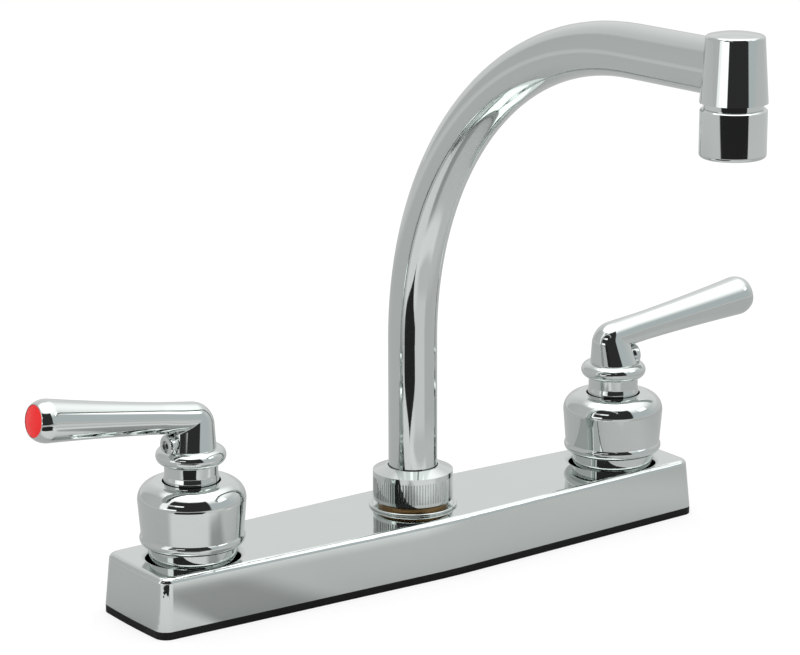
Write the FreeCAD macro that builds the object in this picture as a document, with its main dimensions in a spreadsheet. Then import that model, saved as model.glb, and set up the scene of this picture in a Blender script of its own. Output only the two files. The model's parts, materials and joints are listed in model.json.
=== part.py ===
import FreeCAD, Part
import math
import os
import Sketcher
from FreeCAD import Placement, Rotation, Vector

# Driving sizes in mm or degrees, one row of the sheet each.
SIZES = {
    # Fits shared by the pieces.
    "handle_span": 203.2,  # between the two handle axes
    "run_fit": 0.05,  # radial room of a turning fit
    "thread_fit": 0.05,  # radial room of a screwed or soldered fit
    "float_gap": 0.05,  # end float between turning faces
    # Deck cover and base plate.
    "plate_thk": 3.0,  # base plate thickness
    "deck_rise": 20.0,  # cover height above the base plate
    "deck_end_land": 7.2,  # land past the rolled edge at the ends
    "deck_end_bow": 0.7,  # bow of the short ends
    "deck_front_bulge": 4.9,  # front face bulge at the middle
    "deck_front_land": 1.5,  # land in front of the rolled edge
    "deck_back_bulge": 4,  # back face bulge at the middle
    "deck_back_land": 3.2,  # land behind the rolled edge
    "deck_blend": 10.0,  # half length of the soft middle of the long faces
    "deck_draft": 4.2,  # draft of the cover walls, degrees
    "deck_corner": 5.0,  # upright corner radius
    "deck_edge": 2.2,  # top edge radius
    "deck_wall": 2.4,  # cover wall
    "deck_roof": 2.2,  # cover roof thickness
    "bell_gap": 1.1,  # gap round the skirt
    "dish_wide": 2,  # width of the rolled edge round a skirt
    "dish_depth": 1.7,  # depth of the rolled edge
    "dish_roll_in": 1.26,  # middle of the roll inside its outer edge
    "dish_roll_down": 0.55,  # middle of the roll below the cover top
    "plate_hole_gap": 0.42,  # room in the base plate hole
    # Valve bodies, lock nuts and crossover tubes.
    "shank_wall": 4.48,  # shank wall
    "shank_free": 14,  # free shank below the relief
    "shank_bevel": 1.0,  # bevel at the shank end
    "relief_gap": 1.5,  # thread relief below the lock nut
    "relief_w": 2.5,  # thread relief width
    "relief": 0.6,  # thread relief depth
    "inlet_r": 6.0,  # inlet bore radius
    "foot_lip": 1.5,  # valve foot past the body
    "foot_thk": 3.0,  # valve foot thickness
    "valve_wall": 2.8,  # valve body wall
    "valve_up": 11,  # valve body above the cover
    "chamber_gap": 1.2,  # water room round the sleeve
    "chamber_base": 5,  # chamber floor above the base plate
    "cross_drop": 3.3,  # crossover tubes below the roof
    "cross_r": 5.0,  # crossover tube radius
    "cross_wall": 1.0,  # crossover tube wall
    "cross_inset": 0.6,  # tube end short of each bore
    "washer_z": 20.0,  # top of the lock washer below the seat
    "washer_lip": 6.52,  # lock washer past the shank
    "washer_thk": 2.0,  # lock washer thickness
    "locknut_wall": 9.04,  # lock nut flats past the shank
    "locknut_thk": 8.0,  # lock nut thickness
    # Cartridges.
    "seal_inset": 0.2,  # seat seal inside the sleeve
    "seal_thk": 2.0,  # seat seal thickness
    "sleeve_wall": 1.4,  # sleeve wall
    "disc_room_gap": 0.35,  # room round the moving disc
    "head_room": 0.55,  # room over the stem head
    "sleeve_flange_down": 10,  # sleeve flange below the valve top
    "sleeve_flange_thk": 2.0,  # sleeve flange thickness
    "sleeve_neck_wall": 2,  # sleeve neck wall
    "sleeve_up": 8,  # sleeve above the valve body
    "window_up": 5.9,  # sleeve windows above the sleeve foot
    "window_w": 7.0,  # sleeve window width
    "window_high": 4.8,  # sleeve window height
    "bonnet_inset": 0.4,  # bonnet flats inside the chamber
    "bonnet_head": 6.0,  # bonnet head height
    "disc_r": 8.25,  # moving disc radius
    "disc_thk": 3.0,  # ceramic disc thickness
    "port_r": 2.3,  # disc port radius
    "port_off": 4.6,  # disc port offset from the axis
    "stem_head": 3.4,  # stem head height
    "stem_r": 5.5,  # stem radius
    "stem_step_up": 2,  # stem step above the sleeve
    "tip_step": 1.1,  # step from the stem to its tip
    "tip_gap": 1,  # stem tip below the socket top
    "tip_flat_cut": 1,  # depth of the stem flat
    "tip_flat_len": 10,  # length of the stem flat
    "ring_seat_cut": 1.5,  # depth of the stem ring groove
    "ring_seat_down": 3,  # stem ring below the valve top
    "ring_seat_w": 1.7,  # stem ring groove width
    "ring_lip": 0.02,  # stem ring standing out of the groove
    # Bells.
    "bell_foot_gap": 0.5,  # bell foot above the crossover tubes
    "skirt_wall": 2.4,  # bell skirt wall
    "bell_step_up": 0.3,  # step above the cover top
    "bell_step": 0.25,  # depth of that step
    "bell_waist_up": 4.4,  # skirt top above the cover top
    "bell_bead_in": 2.2,  # bead foot inside the bead
    "bell_bead_half": 2.5,  # bead middle above its foot
    "bell_bead_rest": 1.6,  # rest of the bead
    "bell_bead": 0.55,  # height of the bead
    "bell_flare": 2.85,  # bell foot past the skirt
    "bell_swell": 1.05,  # swell of the bell
    "bell_wall_high": 13.1,  # height of the bell wall
    "bell_top_up": 2,  # flat top above the shoulder middle
    "bell_crown_in": 5.9,  # flat top inside the swell
    "bell_mid_in": 2.0,  # shoulder middle inside the swell
    "bell_mid_up": 5,  # shoulder middle above the wall
    "bell_wall": 1.8,  # bell wall
    "eye_gap": 0.6,  # room round the neck
    "bell_thread_up": 1.2,  # bell thread above the skirt
    # Handles; the lever lies along local +X.
    "neck_sunk": 2.4,  # neck foot inside the bell
    "neck_r": 10.05,  # neck radius
    "neck_flare": 0.35,  # flare at the foot of the neck
    "neck_flare_high": 3.4,  # height of the plain flare
    "neck_slope_high": 1.8,  # height of the slope above it
    "ring_lip_r": 3.1,  # ring past the neck
    "neck_high": 7,  # ring middle above the slope
    "ring_half": 3.0,  # half height of the handle ring
    "column_step": 0.55,  # column inside the neck
    "column_high": 1.6,  # column above the ring
    "socket_up": 5,  # stem socket past the column
    "lever_up": 9.6,  # lever line above the column
    "lever_rise": 8.6,  # rise of the lever, degrees
    "cold_turn": 6.2,  # cold lever forward of the deck line, degrees
    "bend_a_x": 0.2,  # first elbow section, out
    "bend_a_up": 4,  # first elbow section above the column
    "bend_a_tilt": 12.0,  # first elbow section, tilt in degrees
    "bend_b_x": 2.9,  # second elbow section, out
    "bend_b_up": 8.3,  # second elbow section above the column
    "bend_b_tilt": 38.0,  # second elbow section, tilt in degrees
    "bend_b_in": 0.3,  # second elbow section inside the column
    "bend_c_x": 8.2,  # third elbow section, out
    "bend_c_up": 10,  # third elbow section above the column
    "bend_c_tilt": 68.0,  # third elbow section, tilt in degrees
    "bend_c_in": 2.2,  # third elbow section inside the column
    "bend_d_x": 11.0,  # fourth elbow section, out
    "bend_d_up": 11.2,  # fourth elbow section above the column
    "bend_d_tilt": 78.0,  # fourth elbow section, tilt in degrees
    "bend_d_in": 3.2,  # fourth elbow section inside the column
    "lever_in": 14.0,  # start of the straight lever along its line
    "lever_in_step": 3.55,  # lever root inside the column
    "lever_half": 26,  # from the root to the middle of the lever
    "lever_mid_swell": 0.9,  # swell to the middle of the lever
    "lever_rest": 20.4,  # from the middle to the thickest place
    "lever_full_swell": 1.15,  # swell to the thickest place
    "lever_round_out": 3.8,  # rounded end past the thickest place
    "lever_round_in": 0.7,  # rounded end inside the thickest place
    "lever_end": 5.6,  # end face past the thickest place
    "lever_out_in": 1.85,  # end face inside the thickest place
    "button_land": 0.25,  # rim of the end face
    "button_rim": 1.6,  # button rim height
    "button_dome": 0.8,  # button dome height
    "button_seat": 1.8,  # button seat depth
    "boss_r": 4.3,  # screw boss radius
    "boss_up": 0.4,  # screw boss above the column foot of the elbow
    "boss_out": 1.5,  # screw boss past the column
    "boss_len": 6.0,  # screw boss length
    "screw_r": 2.0,  # set screw radius
    "screw_sink": 0.8,  # set screw below the boss face
    "key_flats": 2.0,  # hex key across flats
    "key_deep": 2.2,  # hex key depth
    # Hub, coupling nut and retaining ring.
    "hub_lip": 1.9,  # hub past the post
    "hub_base": 3.5,  # hub floor above the base plate
    "post_wall": 2.6,  # post wall
    "post_up": 12.5,  # post above the cover
    "tail_wall": 1.475,  # tailpiece wall with its turning room
    "cover_hole_gap": 0.3,  # room in the cover hole
    "flange_lip": 3.7,  # retaining ring past the post
    "flange_thk": 1.0,  # retaining ring thickness
    "nut_wall": 2.1,  # coupling nut wall
    "nut_gap": 1.5,  # nut foot above the retaining ring
    "nut_bevel": 0.5,  # bevel at the nut foot
    "nut_cone_down": 0.2,  # nut cone below the lip
    "nut_cone": 1.9,  # height of the nut cone
    "nut_top_land": 1.075,  # top of the cone past the tube
    "nut_eye_gap": 0.4,  # room between the nut and the tube
    "knurl_up": 1.8,  # knurl above the nut foot
    "knurl_down": 2.1,  # knurl below the cone
    "knurl_deep": 0.35,  # knurl depth
    "knurl_half": 0.42,  # half width of a knurl groove at the rim
    "knurl_over": 0.3,  # cut standing past the rim
    "knurl_count": 90,  # knurl grooves
    # Spout.
    "tube_r": 9.525,  # spout tube radius, three quarter inch tube
    "tube_wall": 1.0,  # spout tube wall
    "tube_sunk": 15,  # tube foot below the post top
    "riser": 50.3,  # straight riser above the nut
    "arch_r": 128.7,  # arc radius
    "level_run": 50.8,  # level run past the arc
    "tail_collar_in": 0.7,  # tailpiece collar inside the post
    "tail_collar": 1.4,  # tailpiece collar thickness
    "bearing_thk": 0.6,  # bearing ring thickness
    "o_seat_wall": 0.425,  # tailpiece wall under a ring groove
    "o_seat_w": 1.4,  # tailpiece ring groove width
    "o_low_up": 3.5,  # lower ring above the tube foot
    "o_pitch": 6.5,  # between the two rings
    "o_lip": 0.02,  # spout ring standing out of the groove
    "end_under": 1.075,  # spout end below the tube
    "end_flare": 1.48,  # flare of the spout end
    "end_over": 1.175,  # spout end wall above the tube
    "end_cheek": 0.425,  # spout end past the tube
    "end_crown_in": 1.1,  # crown inside the wall
    "end_crown_up": 0.32,  # crown above the rim middle
    "end_rim_in": 0.33,  # rim middle inside the wall
    "end_rim_up": 0.78,  # rim middle above the wall
    "end_dome": 1.1,  # height of the crown
    "end_wall_thk": 1.65,  # spout end wall
    "end_roof": 2,  # water room below the wall top
    "end_port_in": 0.925,  # port inside the tube bore
    "thread_wall": 1.43,  # spout end wall round the thread
    "aer_washer_thk": 1.4,  # aerator washer thickness
    "socket_deep": 6.3,  # depth of the aerator socket
    "aer_neck_wall": 1.7,  # aerator neck wall
    "aer_step": 1.25,  # aerator body past its thread
    "aer_gap": 2,  # gap between spout end and aerator
    "aer_len": 16.4,  # aerator body length
    "aer_round": 1.4,  # rounding at the aerator foot
    "aer_wall": 1.85,  # aerator wall
    "aer_lip": 2.0,  # aerator lip height
    "aer_seat": 1.4,  # seat of the screen
    "aer_edge": 0.5,  # edge break at the aerator top
    "screen_thk": 1.2,  # screen thickness
    "screen_hole": 0.7,  # screen hole radius
    "screen_pitch": 2.3,  # between the rows of screen holes
    "screen_edge": 2.4,  # outer holes inside the bore
    "screen_count": 6,  # screen holes in the inner row
    "diff_thk": 7.0,  # diffuser thickness
    "diff_hole": 0.75,  # diffuser hole radius
    "diff_edge": 3.8,  # diffuser holes inside the bore
    "diff_count": 16,  # diffuser holes
    "insert_room": 0.15,  # room round the aerator inserts
}

doc = FreeCAD.newDocument("Faucet")
sheet = doc.addObject("Spreadsheet::Sheet", "Dim")


class Size:
    """A size of the faucet: its value in mm or degrees and the formula on the sheet."""

    def __init__(self, value, text):
        self.value = value
        self.text = text

    def __add__(self, other):
        other = size(other)
        return Size(self.value + other.value, f"({self.text} + {other.text})")

    def __sub__(self, other):
        other = size(other)
        return Size(self.value - other.value, f"({self.text} - {other.text})")

    def __mul__(self, other):
        other = size(other)
        return Size(self.value * other.value, f"({self.text} * {other.text})")

    def __truediv__(self, other):
        other = size(other)
        return Size(self.value / other.value, f"({self.text} / {other.text})")

    def __neg__(self):
        return Size(-self.value, f"(0 - {self.text})")


def size(value):
    if isinstance(value, Size):
        return value
    return Size(float(value), repr(value))


def cosine(angle):
    return Size(math.cos(math.radians(angle.value)), f"cos({angle.text} * 1 deg)")


def sine(angle):
    return Size(math.sin(math.radians(angle.value)), f"sin({angle.text} * 1 deg)")


def root(amount):
    return Size(math.sqrt(amount.value), f"sqrt({amount.text})")


def cap_half_height(radius, rise):
    """Height of a ball-shaped cap at half its radius."""
    ball = (radius * radius + rise * rise) / (rise * 2)
    return root(ball * ball - radius * radius / 4) - ball + rise


class Sizes:
    """The driving sizes, each one a cell of the sheet with its own alias."""

    def __init__(self, table):
        for row, (alias, value) in enumerate(table.items(), 1):
            sheet.set(f"A{row}", alias)
            sheet.set(f"B{row}", str(value))
            sheet.setAlias(f"B{row}", alias)
            setattr(self, alias, Size(float(value), f"Dim.{alias}"))


d = Sizes(SIZES)

doc.recompute()

zero = size(0)
hand = d.handle_span / 2
deck_top = d.plate_thk + d.deck_rise
lever_tilt = size(90) - d.lever_rise

# Valve radii, from the ceramic disc outwards.
disc_room_r = d.disc_r + d.disc_room_gap
sleeve_r = disc_room_r + d.sleeve_wall
seal_r = sleeve_r - d.seal_inset
chamber_r = sleeve_r + d.chamber_gap
valve_r = chamber_r + d.valve_wall
foot_r = valve_r + d.foot_lip
bonnet_flats = chamber_r * 2 - d.bonnet_inset
sleeve_neck_r = d.stem_r + d.sleeve_neck_wall
tip_r = d.stem_r - d.tip_step
tip_flat = tip_r - d.tip_flat_cut
ring_seat_r = d.stem_r - d.ring_seat_cut
shank_r = d.inlet_r + d.shank_wall
plate_hole_r = shank_r + d.plate_hole_gap
washer_r = shank_r + d.washer_lip
locknut_flats = shank_r * 2 + d.locknut_wall

# Bell radii, from the valve body outwards.
bell_skirt_r = valve_r + d.skirt_wall
bell_low_r = bell_skirt_r + d.bell_flare
bell_bead_r = bell_low_r + d.bell_bead
bead_foot_r = bell_bead_r - d.bell_bead_in
bell_r = bell_low_r + d.bell_swell
bell_mid_r = bell_r - d.bell_mid_in
bell_crown_r = bell_r - d.bell_crown_in
bell_hole_r = bell_skirt_r + d.bell_gap
dish_r = bell_hole_r + d.dish_wide

# Deck plan, from the rolled edges outwards.
deck_end = hand + dish_r + d.deck_end_land
deck_front_end = dish_r + d.deck_front_land
deck_front_apex = deck_front_end + d.deck_front_bulge
deck_back_end = dish_r + d.deck_back_land
deck_back_apex = deck_back_end + d.deck_back_bulge

# Handle radii and places along the lever.
bell_eye_r = d.neck_r + d.neck_flare + d.eye_gap
ring_r = d.neck_r + d.ring_lip_r
column_r = d.neck_r - d.column_step
bend_a_r = column_r
bend_b_r = column_r - d.bend_b_in
bend_c_r = column_r - d.bend_c_in
bend_d_r = column_r - d.bend_d_in
lever_in_r = column_r - d.lever_in_step
lever_mid_r = lever_in_r + d.lever_mid_swell
lever_full_r = lever_mid_r + d.lever_full_swell
lever_round_r = lever_full_r - d.lever_round_in
lever_out_r = lever_full_r - d.lever_out_in
button_r = lever_out_r - d.button_land
lever_mid = d.lever_in + d.lever_half
lever_full = lever_mid + d.lever_rest
lever_round = lever_full + d.lever_round_out
lever_out = lever_full + d.lever_end
boss_face = column_r + d.boss_out

# Hub, nut and tailpiece radii, from the tube outwards.
hub_bore = d.tube_r + d.tail_wall
post_r = hub_bore + d.post_wall
hub_r = post_r + d.hub_lip
cover_hole_r = post_r + d.cover_hole_gap
flange_r = post_r + d.flange_lip
nut_r = post_r + d.nut_wall
nut_top_r = d.tube_r + d.nut_top_land
tail_collar_r = post_r - d.tail_collar_in
o_seat_r = d.tube_r + d.o_seat_wall

# Spout end and aerator radii, from the tube outwards.
end_high_r = d.tube_r + d.end_cheek
end_low_r = end_high_r + d.end_flare
end_cavity_r = end_high_r - d.end_wall_thk
end_crown_r = end_high_r - d.end_crown_in
end_rim_r = end_high_r - d.end_rim_in
end_port_r = d.tube_r - d.tube_wall - d.end_port_in
thread_r = end_low_r - d.thread_wall
aer_neck_r = thread_r - d.aer_neck_wall
aer_r = thread_r + d.aer_step
aer_bore = aer_r - d.aer_wall
aer_eye = aer_bore - d.aer_seat
screen_row_c = aer_bore - d.screen_edge
screen_row_b = screen_row_c - d.screen_pitch
screen_row_a = screen_row_b - d.screen_pitch
diff_row = aer_bore - d.diff_edge

# Heights under the cover.
cross_z = deck_top - d.deck_roof - d.cross_r - d.cross_drop
chamber_floor = d.plate_thk + d.chamber_base
hub_floor = d.plate_thk + d.hub_base
relief_z = d.washer_z + d.washer_thk + d.locknut_thk + d.relief_gap
shank_drop = relief_z + d.relief_w + d.shank_free
valve_top = deck_top + d.valve_up
sleeve_top = valve_top + d.sleeve_up
sleeve_flange_z = valve_top - d.sleeve_flange_down
disc_room_top = chamber_floor + d.seal_thk + d.disc_thk * 2 + d.float_gap + d.stem_head + d.head_room
window_z = chamber_floor + d.seal_thk + d.window_up
ring_seat_z = valve_top - d.ring_seat_down
stem_step = sleeve_top + d.stem_step_up

# Heights of the bell, from its foot upwards.
bell_foot = cross_z + d.cross_r + d.bell_foot_gap
bell_step_z = deck_top + d.bell_step_up
bell_waist_z = deck_top + d.bell_waist_up
bell_thread_top = bell_waist_z + d.bell_thread_up
bell_bead_z = bell_waist_z + d.bell_bead_half
bell_bead_top = bell_bead_z + d.bell_bead_rest
bell_r_z = bell_bead_top + d.bell_wall_high
bell_mid_z = bell_r_z + d.bell_mid_up
bell_top = bell_mid_z + d.bell_top_up

# Heights of the handle, from the bell upwards.
neck_foot = bell_top - d.neck_sunk
neck_flare_z = neck_foot + d.neck_flare_high
neck_plain_z = neck_flare_z + d.neck_slope_high
ring_z = neck_plain_z + d.neck_high
column_top = ring_z + d.ring_half + d.column_high
socket_top = column_top + d.socket_up
lever_z = column_top + d.lever_up
bend_a_z = column_top + d.bend_a_up
bend_b_z = column_top + d.bend_b_up
bend_c_z = column_top + d.bend_c_up
bend_d_z = column_top + d.bend_d_up
boss_z = column_top + d.boss_up
tip_top = socket_top - d.tip_gap
tip_flat_z = tip_top - d.tip_flat_len

# Heights of the hub, nut and spout.
post_top = deck_top + d.post_up
nut_foot = deck_top + d.flange_thk + d.nut_gap
nut_lip_z = post_top + d.float_gap * 2 + d.tail_collar + d.bearing_thk
nut_shoulder = nut_lip_z - d.nut_cone_down
nut_top = nut_shoulder + d.nut_cone
knurl_low = nut_foot + d.knurl_up
knurl_high = nut_shoulder - d.knurl_down
tube_foot = post_top - d.tube_sunk
o_low_z = tube_foot + d.o_low_up
o_high_z = o_low_z + d.o_pitch
riser_top = nut_top + d.riser
outlet_y = d.arch_r + d.level_run

# Heights of the spout end and the aerator.
run_z = riser_top + d.arch_r
end_low_z = run_z - d.tube_r - d.end_under
end_high_z = run_z + d.tube_r + d.end_over
end_rim_z = end_high_z + d.end_rim_up
end_crown_z = end_rim_z + d.end_crown_up
end_top = end_crown_z + d.end_dome
end_cavity_top = end_high_z - d.end_roof
thread_deep = end_low_z + d.socket_deep
thread_top = thread_deep - d.aer_washer_thk
aer_high = end_low_z - d.aer_gap
aer_low = aer_high - d.aer_len


def bind(item, path, amount):
    item.setExpression(path, size(amount).text)


def origin(body, role):
    """One plane or axis of the body's own origin."""
    return next(item for item in body.Origin.OriginFeatures if item.Role == role)


def new_body(label):
    body = doc.addObject("PartDesign::Body", label)
    body.Label = label
    return body


def put(body, x=zero, y=zero, z=zero, yaw=zero, pitch=zero):
    """Stand a piece at its place, turned about Z by yaw and tipped about Y by pitch."""
    base = [size(amount) for amount in (x, y, z)]
    turn = [size(yaw), size(pitch)]
    place = "; ".join(amount.text for amount in base)
    angles = "; ".join(amount.text for amount in turn)
    spin = Rotation(turn[0].value, turn[1].value, 0)
    body.Placement = Placement(Vector(*[amount.value for amount in base]), spin)
    body.setExpression("Placement", f"placement(vector({place}); rotation({angles}; 0))")


def new_sketch(body, name, role, shift=(zero, zero, zero), tilt=None, spin=None):
    """A sketch on an origin plane, moved by shift, tilted about its Y axis or spun about its normal."""
    sketch = body.newObject("Sketcher::SketchObject", name)
    sketch.AttachmentSupport = [(origin(body, role), "")]
    sketch.MapMode = "FlatFace"
    shift = [size(amount) for amount in shift]
    turn = Rotation()
    if tilt is not None:
        turn = Rotation(Vector(0, 1, 0), tilt.value)
    if spin is not None:
        turn = Rotation(Vector(0, 0, 1), spin.value)
    sketch.AttachmentOffset = Placement(Vector(*[amount.value for amount in shift]), turn)
    for key, amount in zip("xyz", shift):
        if amount.text != zero.text:
            bind(sketch, f"AttachmentOffset.Base.{key}", amount)
    if tilt is not None or spin is not None:
        bind(sketch, "AttachmentOffset.Rotation.Angle", tilt or spin)
    return sketch


def pin(sketch, geo, pos, x, y):
    """Hold one point of a sketch at bound distances from the sketch origin."""
    for kind, axis, amount in (("DistanceX", -2, size(x)), ("DistanceY", -1, size(y))):
        if amount.text == zero.text:
            sketch.addConstraint(Sketcher.Constraint("PointOnObject", geo, pos, axis))
        else:
            index = sketch.addConstraint(Sketcher.Constraint(kind, -1, 1, geo, pos, amount.value))
            bind(sketch, f"Constraints[{index}]", amount)


def spot(x, y):
    return Vector(size(x).value, size(y).value, 0)


def draw_chain(sketch, points, bows, closed):
    """Straight edges through the points; an edge in bows is an arc through its third point."""
    count = len(points)
    spans = count if closed else count - 1
    ends = []
    for index in range(spans):
        first = spot(*points[index])
        last = spot(*points[(index + 1) % count])
        if index in bows:
            geo = sketch.addGeometry(Part.Arc(first, spot(*bows[index]), last), False)
        else:
            geo = sketch.addGeometry(Part.LineSegment(first, last), False)
        turned = sketch.getPoint(geo, 1).sub(first).Length > sketch.getPoint(geo, 2).sub(first).Length
        ends.append((geo, 2, 1) if turned else (geo, 1, 2))
    for index in range(spans):
        following = (index + 1) % spans
        if closed or following:
            here = (ends[index][0], ends[index][2])
            there = (ends[following][0], ends[following][1])
            sketch.addConstraint(Sketcher.Constraint("Coincident", *here, *there))
    for index in range(spans):
        pin(sketch, ends[index][0], ends[index][1], *points[index])
    if not closed:
        pin(sketch, ends[-1][0], ends[-1][2], *points[-1])
    for index, third in bows.items():
        mark = sketch.addGeometry(Part.Point(spot(*third)), True)
        pin(sketch, mark, 1, *third)
        sketch.addConstraint(Sketcher.Constraint("PointOnObject", mark, 1, ends[index][0]))


def draw_circle(sketch, radius, x=zero, y=zero):
    radius = size(radius)
    geo = sketch.addGeometry(Part.Circle(spot(x, y), Vector(0, 0, 1), radius.value), False)
    pin(sketch, geo, 3, x, y)
    index = sketch.addConstraint(Sketcher.Constraint("Radius", geo, radius.value))
    bind(sketch, f"Constraints[{index}]", radius)


def outline(body, name, role, points, bows=None, shift=(zero, zero, zero), tilt=None):
    sketch = new_sketch(body, name, role, shift, tilt)
    draw_chain(sketch, points, bows or {}, True)
    return sketch


def circles(body, name, role, items, shift=(zero, zero, zero), tilt=None):
    sketch = new_sketch(body, name, role, shift, tilt)
    for item in items:
        draw_circle(sketch, *item)
    return sketch


def hexagon(flats):
    """Corner points of a hexagon with two flats square to the sketch Y axis."""
    corner = flats / 2 / cosine(size(30))
    half = corner / 2
    tall = flats / 2
    return [(corner, zero), (half, tall), (-half, tall), (-corner, zero), (-half, -tall), (half, -tall)]


def turn_up(body, name, points, bows=None):
    """Turn a profile of radius and height round the body's Z axis."""
    sketch = outline(body, name + "_profile", "XZ_Plane", points, bows)
    turned = body.newObject("PartDesign::Revolution", name)
    turned.Profile = sketch
    turned.ReferenceAxis = (sketch, ["V_Axis"])
    turned.Angle = 360
    return turned


def raise_up(body, name, sketch, length, taper=None):
    pad = body.newObject("PartDesign::Pad", name)
    pad.Profile = sketch
    pad.Length = size(length).value
    bind(pad, "Length", length)
    if taper is not None:
        pad.TaperAngle = taper.value
        bind(pad, "TaperAngle", taper)
    return pad


def checked_cut(cut, before):
    """A cut has to take material away."""
    doc.recompute()
    if cut.Shape.isNull() or cut.Shape.Volume >= before:
        raise RuntimeError(f"{cut.Name} took nothing away")
    return cut


def sink(body, name, sketch, length, along=True, both=False, taper=None):
    """Pocket along the sketch normal, against it, or half to each side, with straight or drafted walls."""
    doc.recompute()
    before = body.Tip.Shape.Volume
    pocket = body.newObject("PartDesign::Pocket", name)
    pocket.Profile = sketch
    pocket.Length = size(length).value
    bind(pocket, "Length", length)
    pocket.Reversed = along
    if both:
        pocket.SideType = "Symmetric"
    if taper is not None:
        pocket.TaperAngle = taper.value
        bind(pocket, "TaperAngle", taper)
    return checked_cut(pocket, before)


def turn_out(body, name, points, shift, role="XZ_Plane", bows=None):
    """Cut a turned profile round the V axis of a moved sketch."""
    doc.recompute()
    before = body.Tip.Shape.Volume
    sketch = outline(body, name + "_profile", role, points, bows, shift)
    groove = body.newObject("PartDesign::Groove", name)
    groove.Profile = sketch
    groove.ReferenceAxis = (sketch, ["V_Axis"])
    groove.Angle = 360
    return checked_cut(groove, before)


def repeat(body, name, feature, count):
    """Repeat a cut evenly round the body's Z axis."""
    pattern = body.newObject("PartDesign::PolarPattern", name)
    pattern.Originals = [feature]
    pattern.Axis = (origin(body, "Z_Axis"), [""])
    pattern.Angle = 360
    pattern.Occurrences = int(count.value)
    bind(pattern, "Occurrences", count)
    body.Tip = pattern
    return checked_cut(pattern, feature.Shape.Volume)


def round_edges(body, name, feature, picked, radius):
    doc.recompute()
    names = picked(feature.Shape)
    fillet = body.newObject("PartDesign::Fillet", name)
    fillet.Base = (feature, names)
    fillet.Radius = size(radius).value
    bind(fillet, "Radius", radius)
    doc.recompute()
    return fillet


def ring(label, inner, outer, low, high):
    """A plain turned ring or, with inner zero, a plain disc."""
    body = new_body(label)
    turn_up(body, label + "_turned", [(inner, low), (outer, low), (outer, high), (inner, high)])
    return body


def o_ring(name, inner, outer, height):
    """A round-section ring between two radii."""
    torus = doc.addObject("Part::Torus", name)
    torus.Label = name
    mean = (inner + outer) / 2
    thick = (outer - inner) / 2
    torus.Radius1 = mean.value
    torus.Radius2 = thick.value
    bind(torus, "Radius1", mean)
    bind(torus, "Radius2", thick)
    put(torus, zero, zero, height)
    return torus


def deck_plan(inset):
    """Plan of the deck: two long faces softly broken at the middle and two bowed ends."""
    end = deck_end - inset
    front = deck_front_end - inset
    back = deck_back_end - inset
    front_fall = (deck_front_apex - deck_front_end) / deck_end
    back_fall = (deck_back_apex - deck_back_end) / deck_end
    front_tip = deck_front_apex - inset
    back_tip = deck_back_apex - inset
    front_side = front_tip - front_fall * d.deck_blend
    back_side = back_tip - back_fall * d.deck_blend
    front_bow = front_tip - front_fall * d.deck_blend / 2
    back_bow = back_tip - back_fall * d.deck_blend / 2
    middle = (back - front) / 2
    points = [(-end, -front), (-d.deck_blend, -front_side), (d.deck_blend, -front_side), (end, -front)]
    points += [(end, back), (d.deck_blend, back_side), (-d.deck_blend, back_side), (-end, back)]
    bows = {1: (zero, -front_bow), 3: (end + d.deck_end_bow, middle)}
    bows.update({5: (zero, back_bow), 7: (-end - d.deck_end_bow, middle)})
    return points, bows


def upright_corners(shape):
    """The four upright edges at the ends of the deck."""
    names = []
    for index, edge in enumerate(shape.Edges, 1):
        box = edge.BoundBox
        middle = edge.CenterOfMass
        far = abs(middle.x) > (deck_end - d.deck_corner).value
        if far and box.ZLength > (d.plate_thk / 2).value and box.YLength < d.deck_corner.value:
            names.append(f"Edge{index}")
    return names


def top_face(shape):
    """The flat face that lies highest."""
    best = max(range(len(shape.Faces)), key=lambda index: shape.Faces[index].CenterOfMass.z)
    return [f"Face{best + 1}"]


# Base plate: black plate with a hole for each shank.
base_plate = new_body("base_plate")
plan, plan_bows = deck_plan(zero)
plate_plan = outline(base_plate, "plate_plan", "XY_Plane", plan, plan_bows)
plate_pad = raise_up(base_plate, "plate", plate_plan, d.plate_thk)
round_edges(base_plate, "plate_corners", plate_pad, upright_corners, d.deck_corner)
shank_holes = [(plate_hole_r, hand), (plate_hole_r, -hand)]
plate_holes = circles(base_plate, "plate_holes", "XY_Plane", shank_holes)
sink(base_plate, "plate_shank_holes", plate_holes, d.plate_thk * 2, both=True)

# Deck cover: drafted shell, open below, with three openings in its roof.
deck_cover = new_body("deck_cover")
on_plate = (zero, zero, d.plate_thk)
cover_plan = outline(deck_cover, "cover_plan", "XY_Plane", plan, plan_bows, on_plate)
cover_pad = raise_up(deck_cover, "cover", cover_plan, d.deck_rise, -d.deck_draft)
cover_round = round_edges(deck_cover, "cover_corners", cover_pad, upright_corners, d.deck_corner)
round_edges(deck_cover, "cover_edge", cover_round, top_face, d.deck_edge)
room, room_bows = deck_plan(d.deck_wall)
room_plan = outline(deck_cover, "room_plan", "XY_Plane", room, room_bows, on_plate)
sink(deck_cover, "cover_room", room_plan, d.deck_rise - d.deck_roof, taper=-d.deck_draft)
under_roof = deck_top - d.deck_roof * 2
above_roof = deck_top + d.deck_roof
dish = [(zero, under_roof), (bell_hole_r, under_roof), (bell_hole_r, deck_top - d.dish_depth)]
dish += [(dish_r, deck_top), (dish_r, above_roof), (zero, above_roof)]
roll = {2: (dish_r - d.dish_roll_in, deck_top - d.dish_roll_down)}
turn_out(deck_cover, "hot_opening", dish, (-hand, zero, zero), bows=roll)
turn_out(deck_cover, "cold_opening", dish, (hand, zero, zero), bows=roll)
post_hole = circles(deck_cover, "post_hole", "XY_Plane", [(cover_hole_r,)], (zero, zero, under_roof))
sink(deck_cover, "cover_post_hole", post_hole, d.deck_roof * 3)

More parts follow.
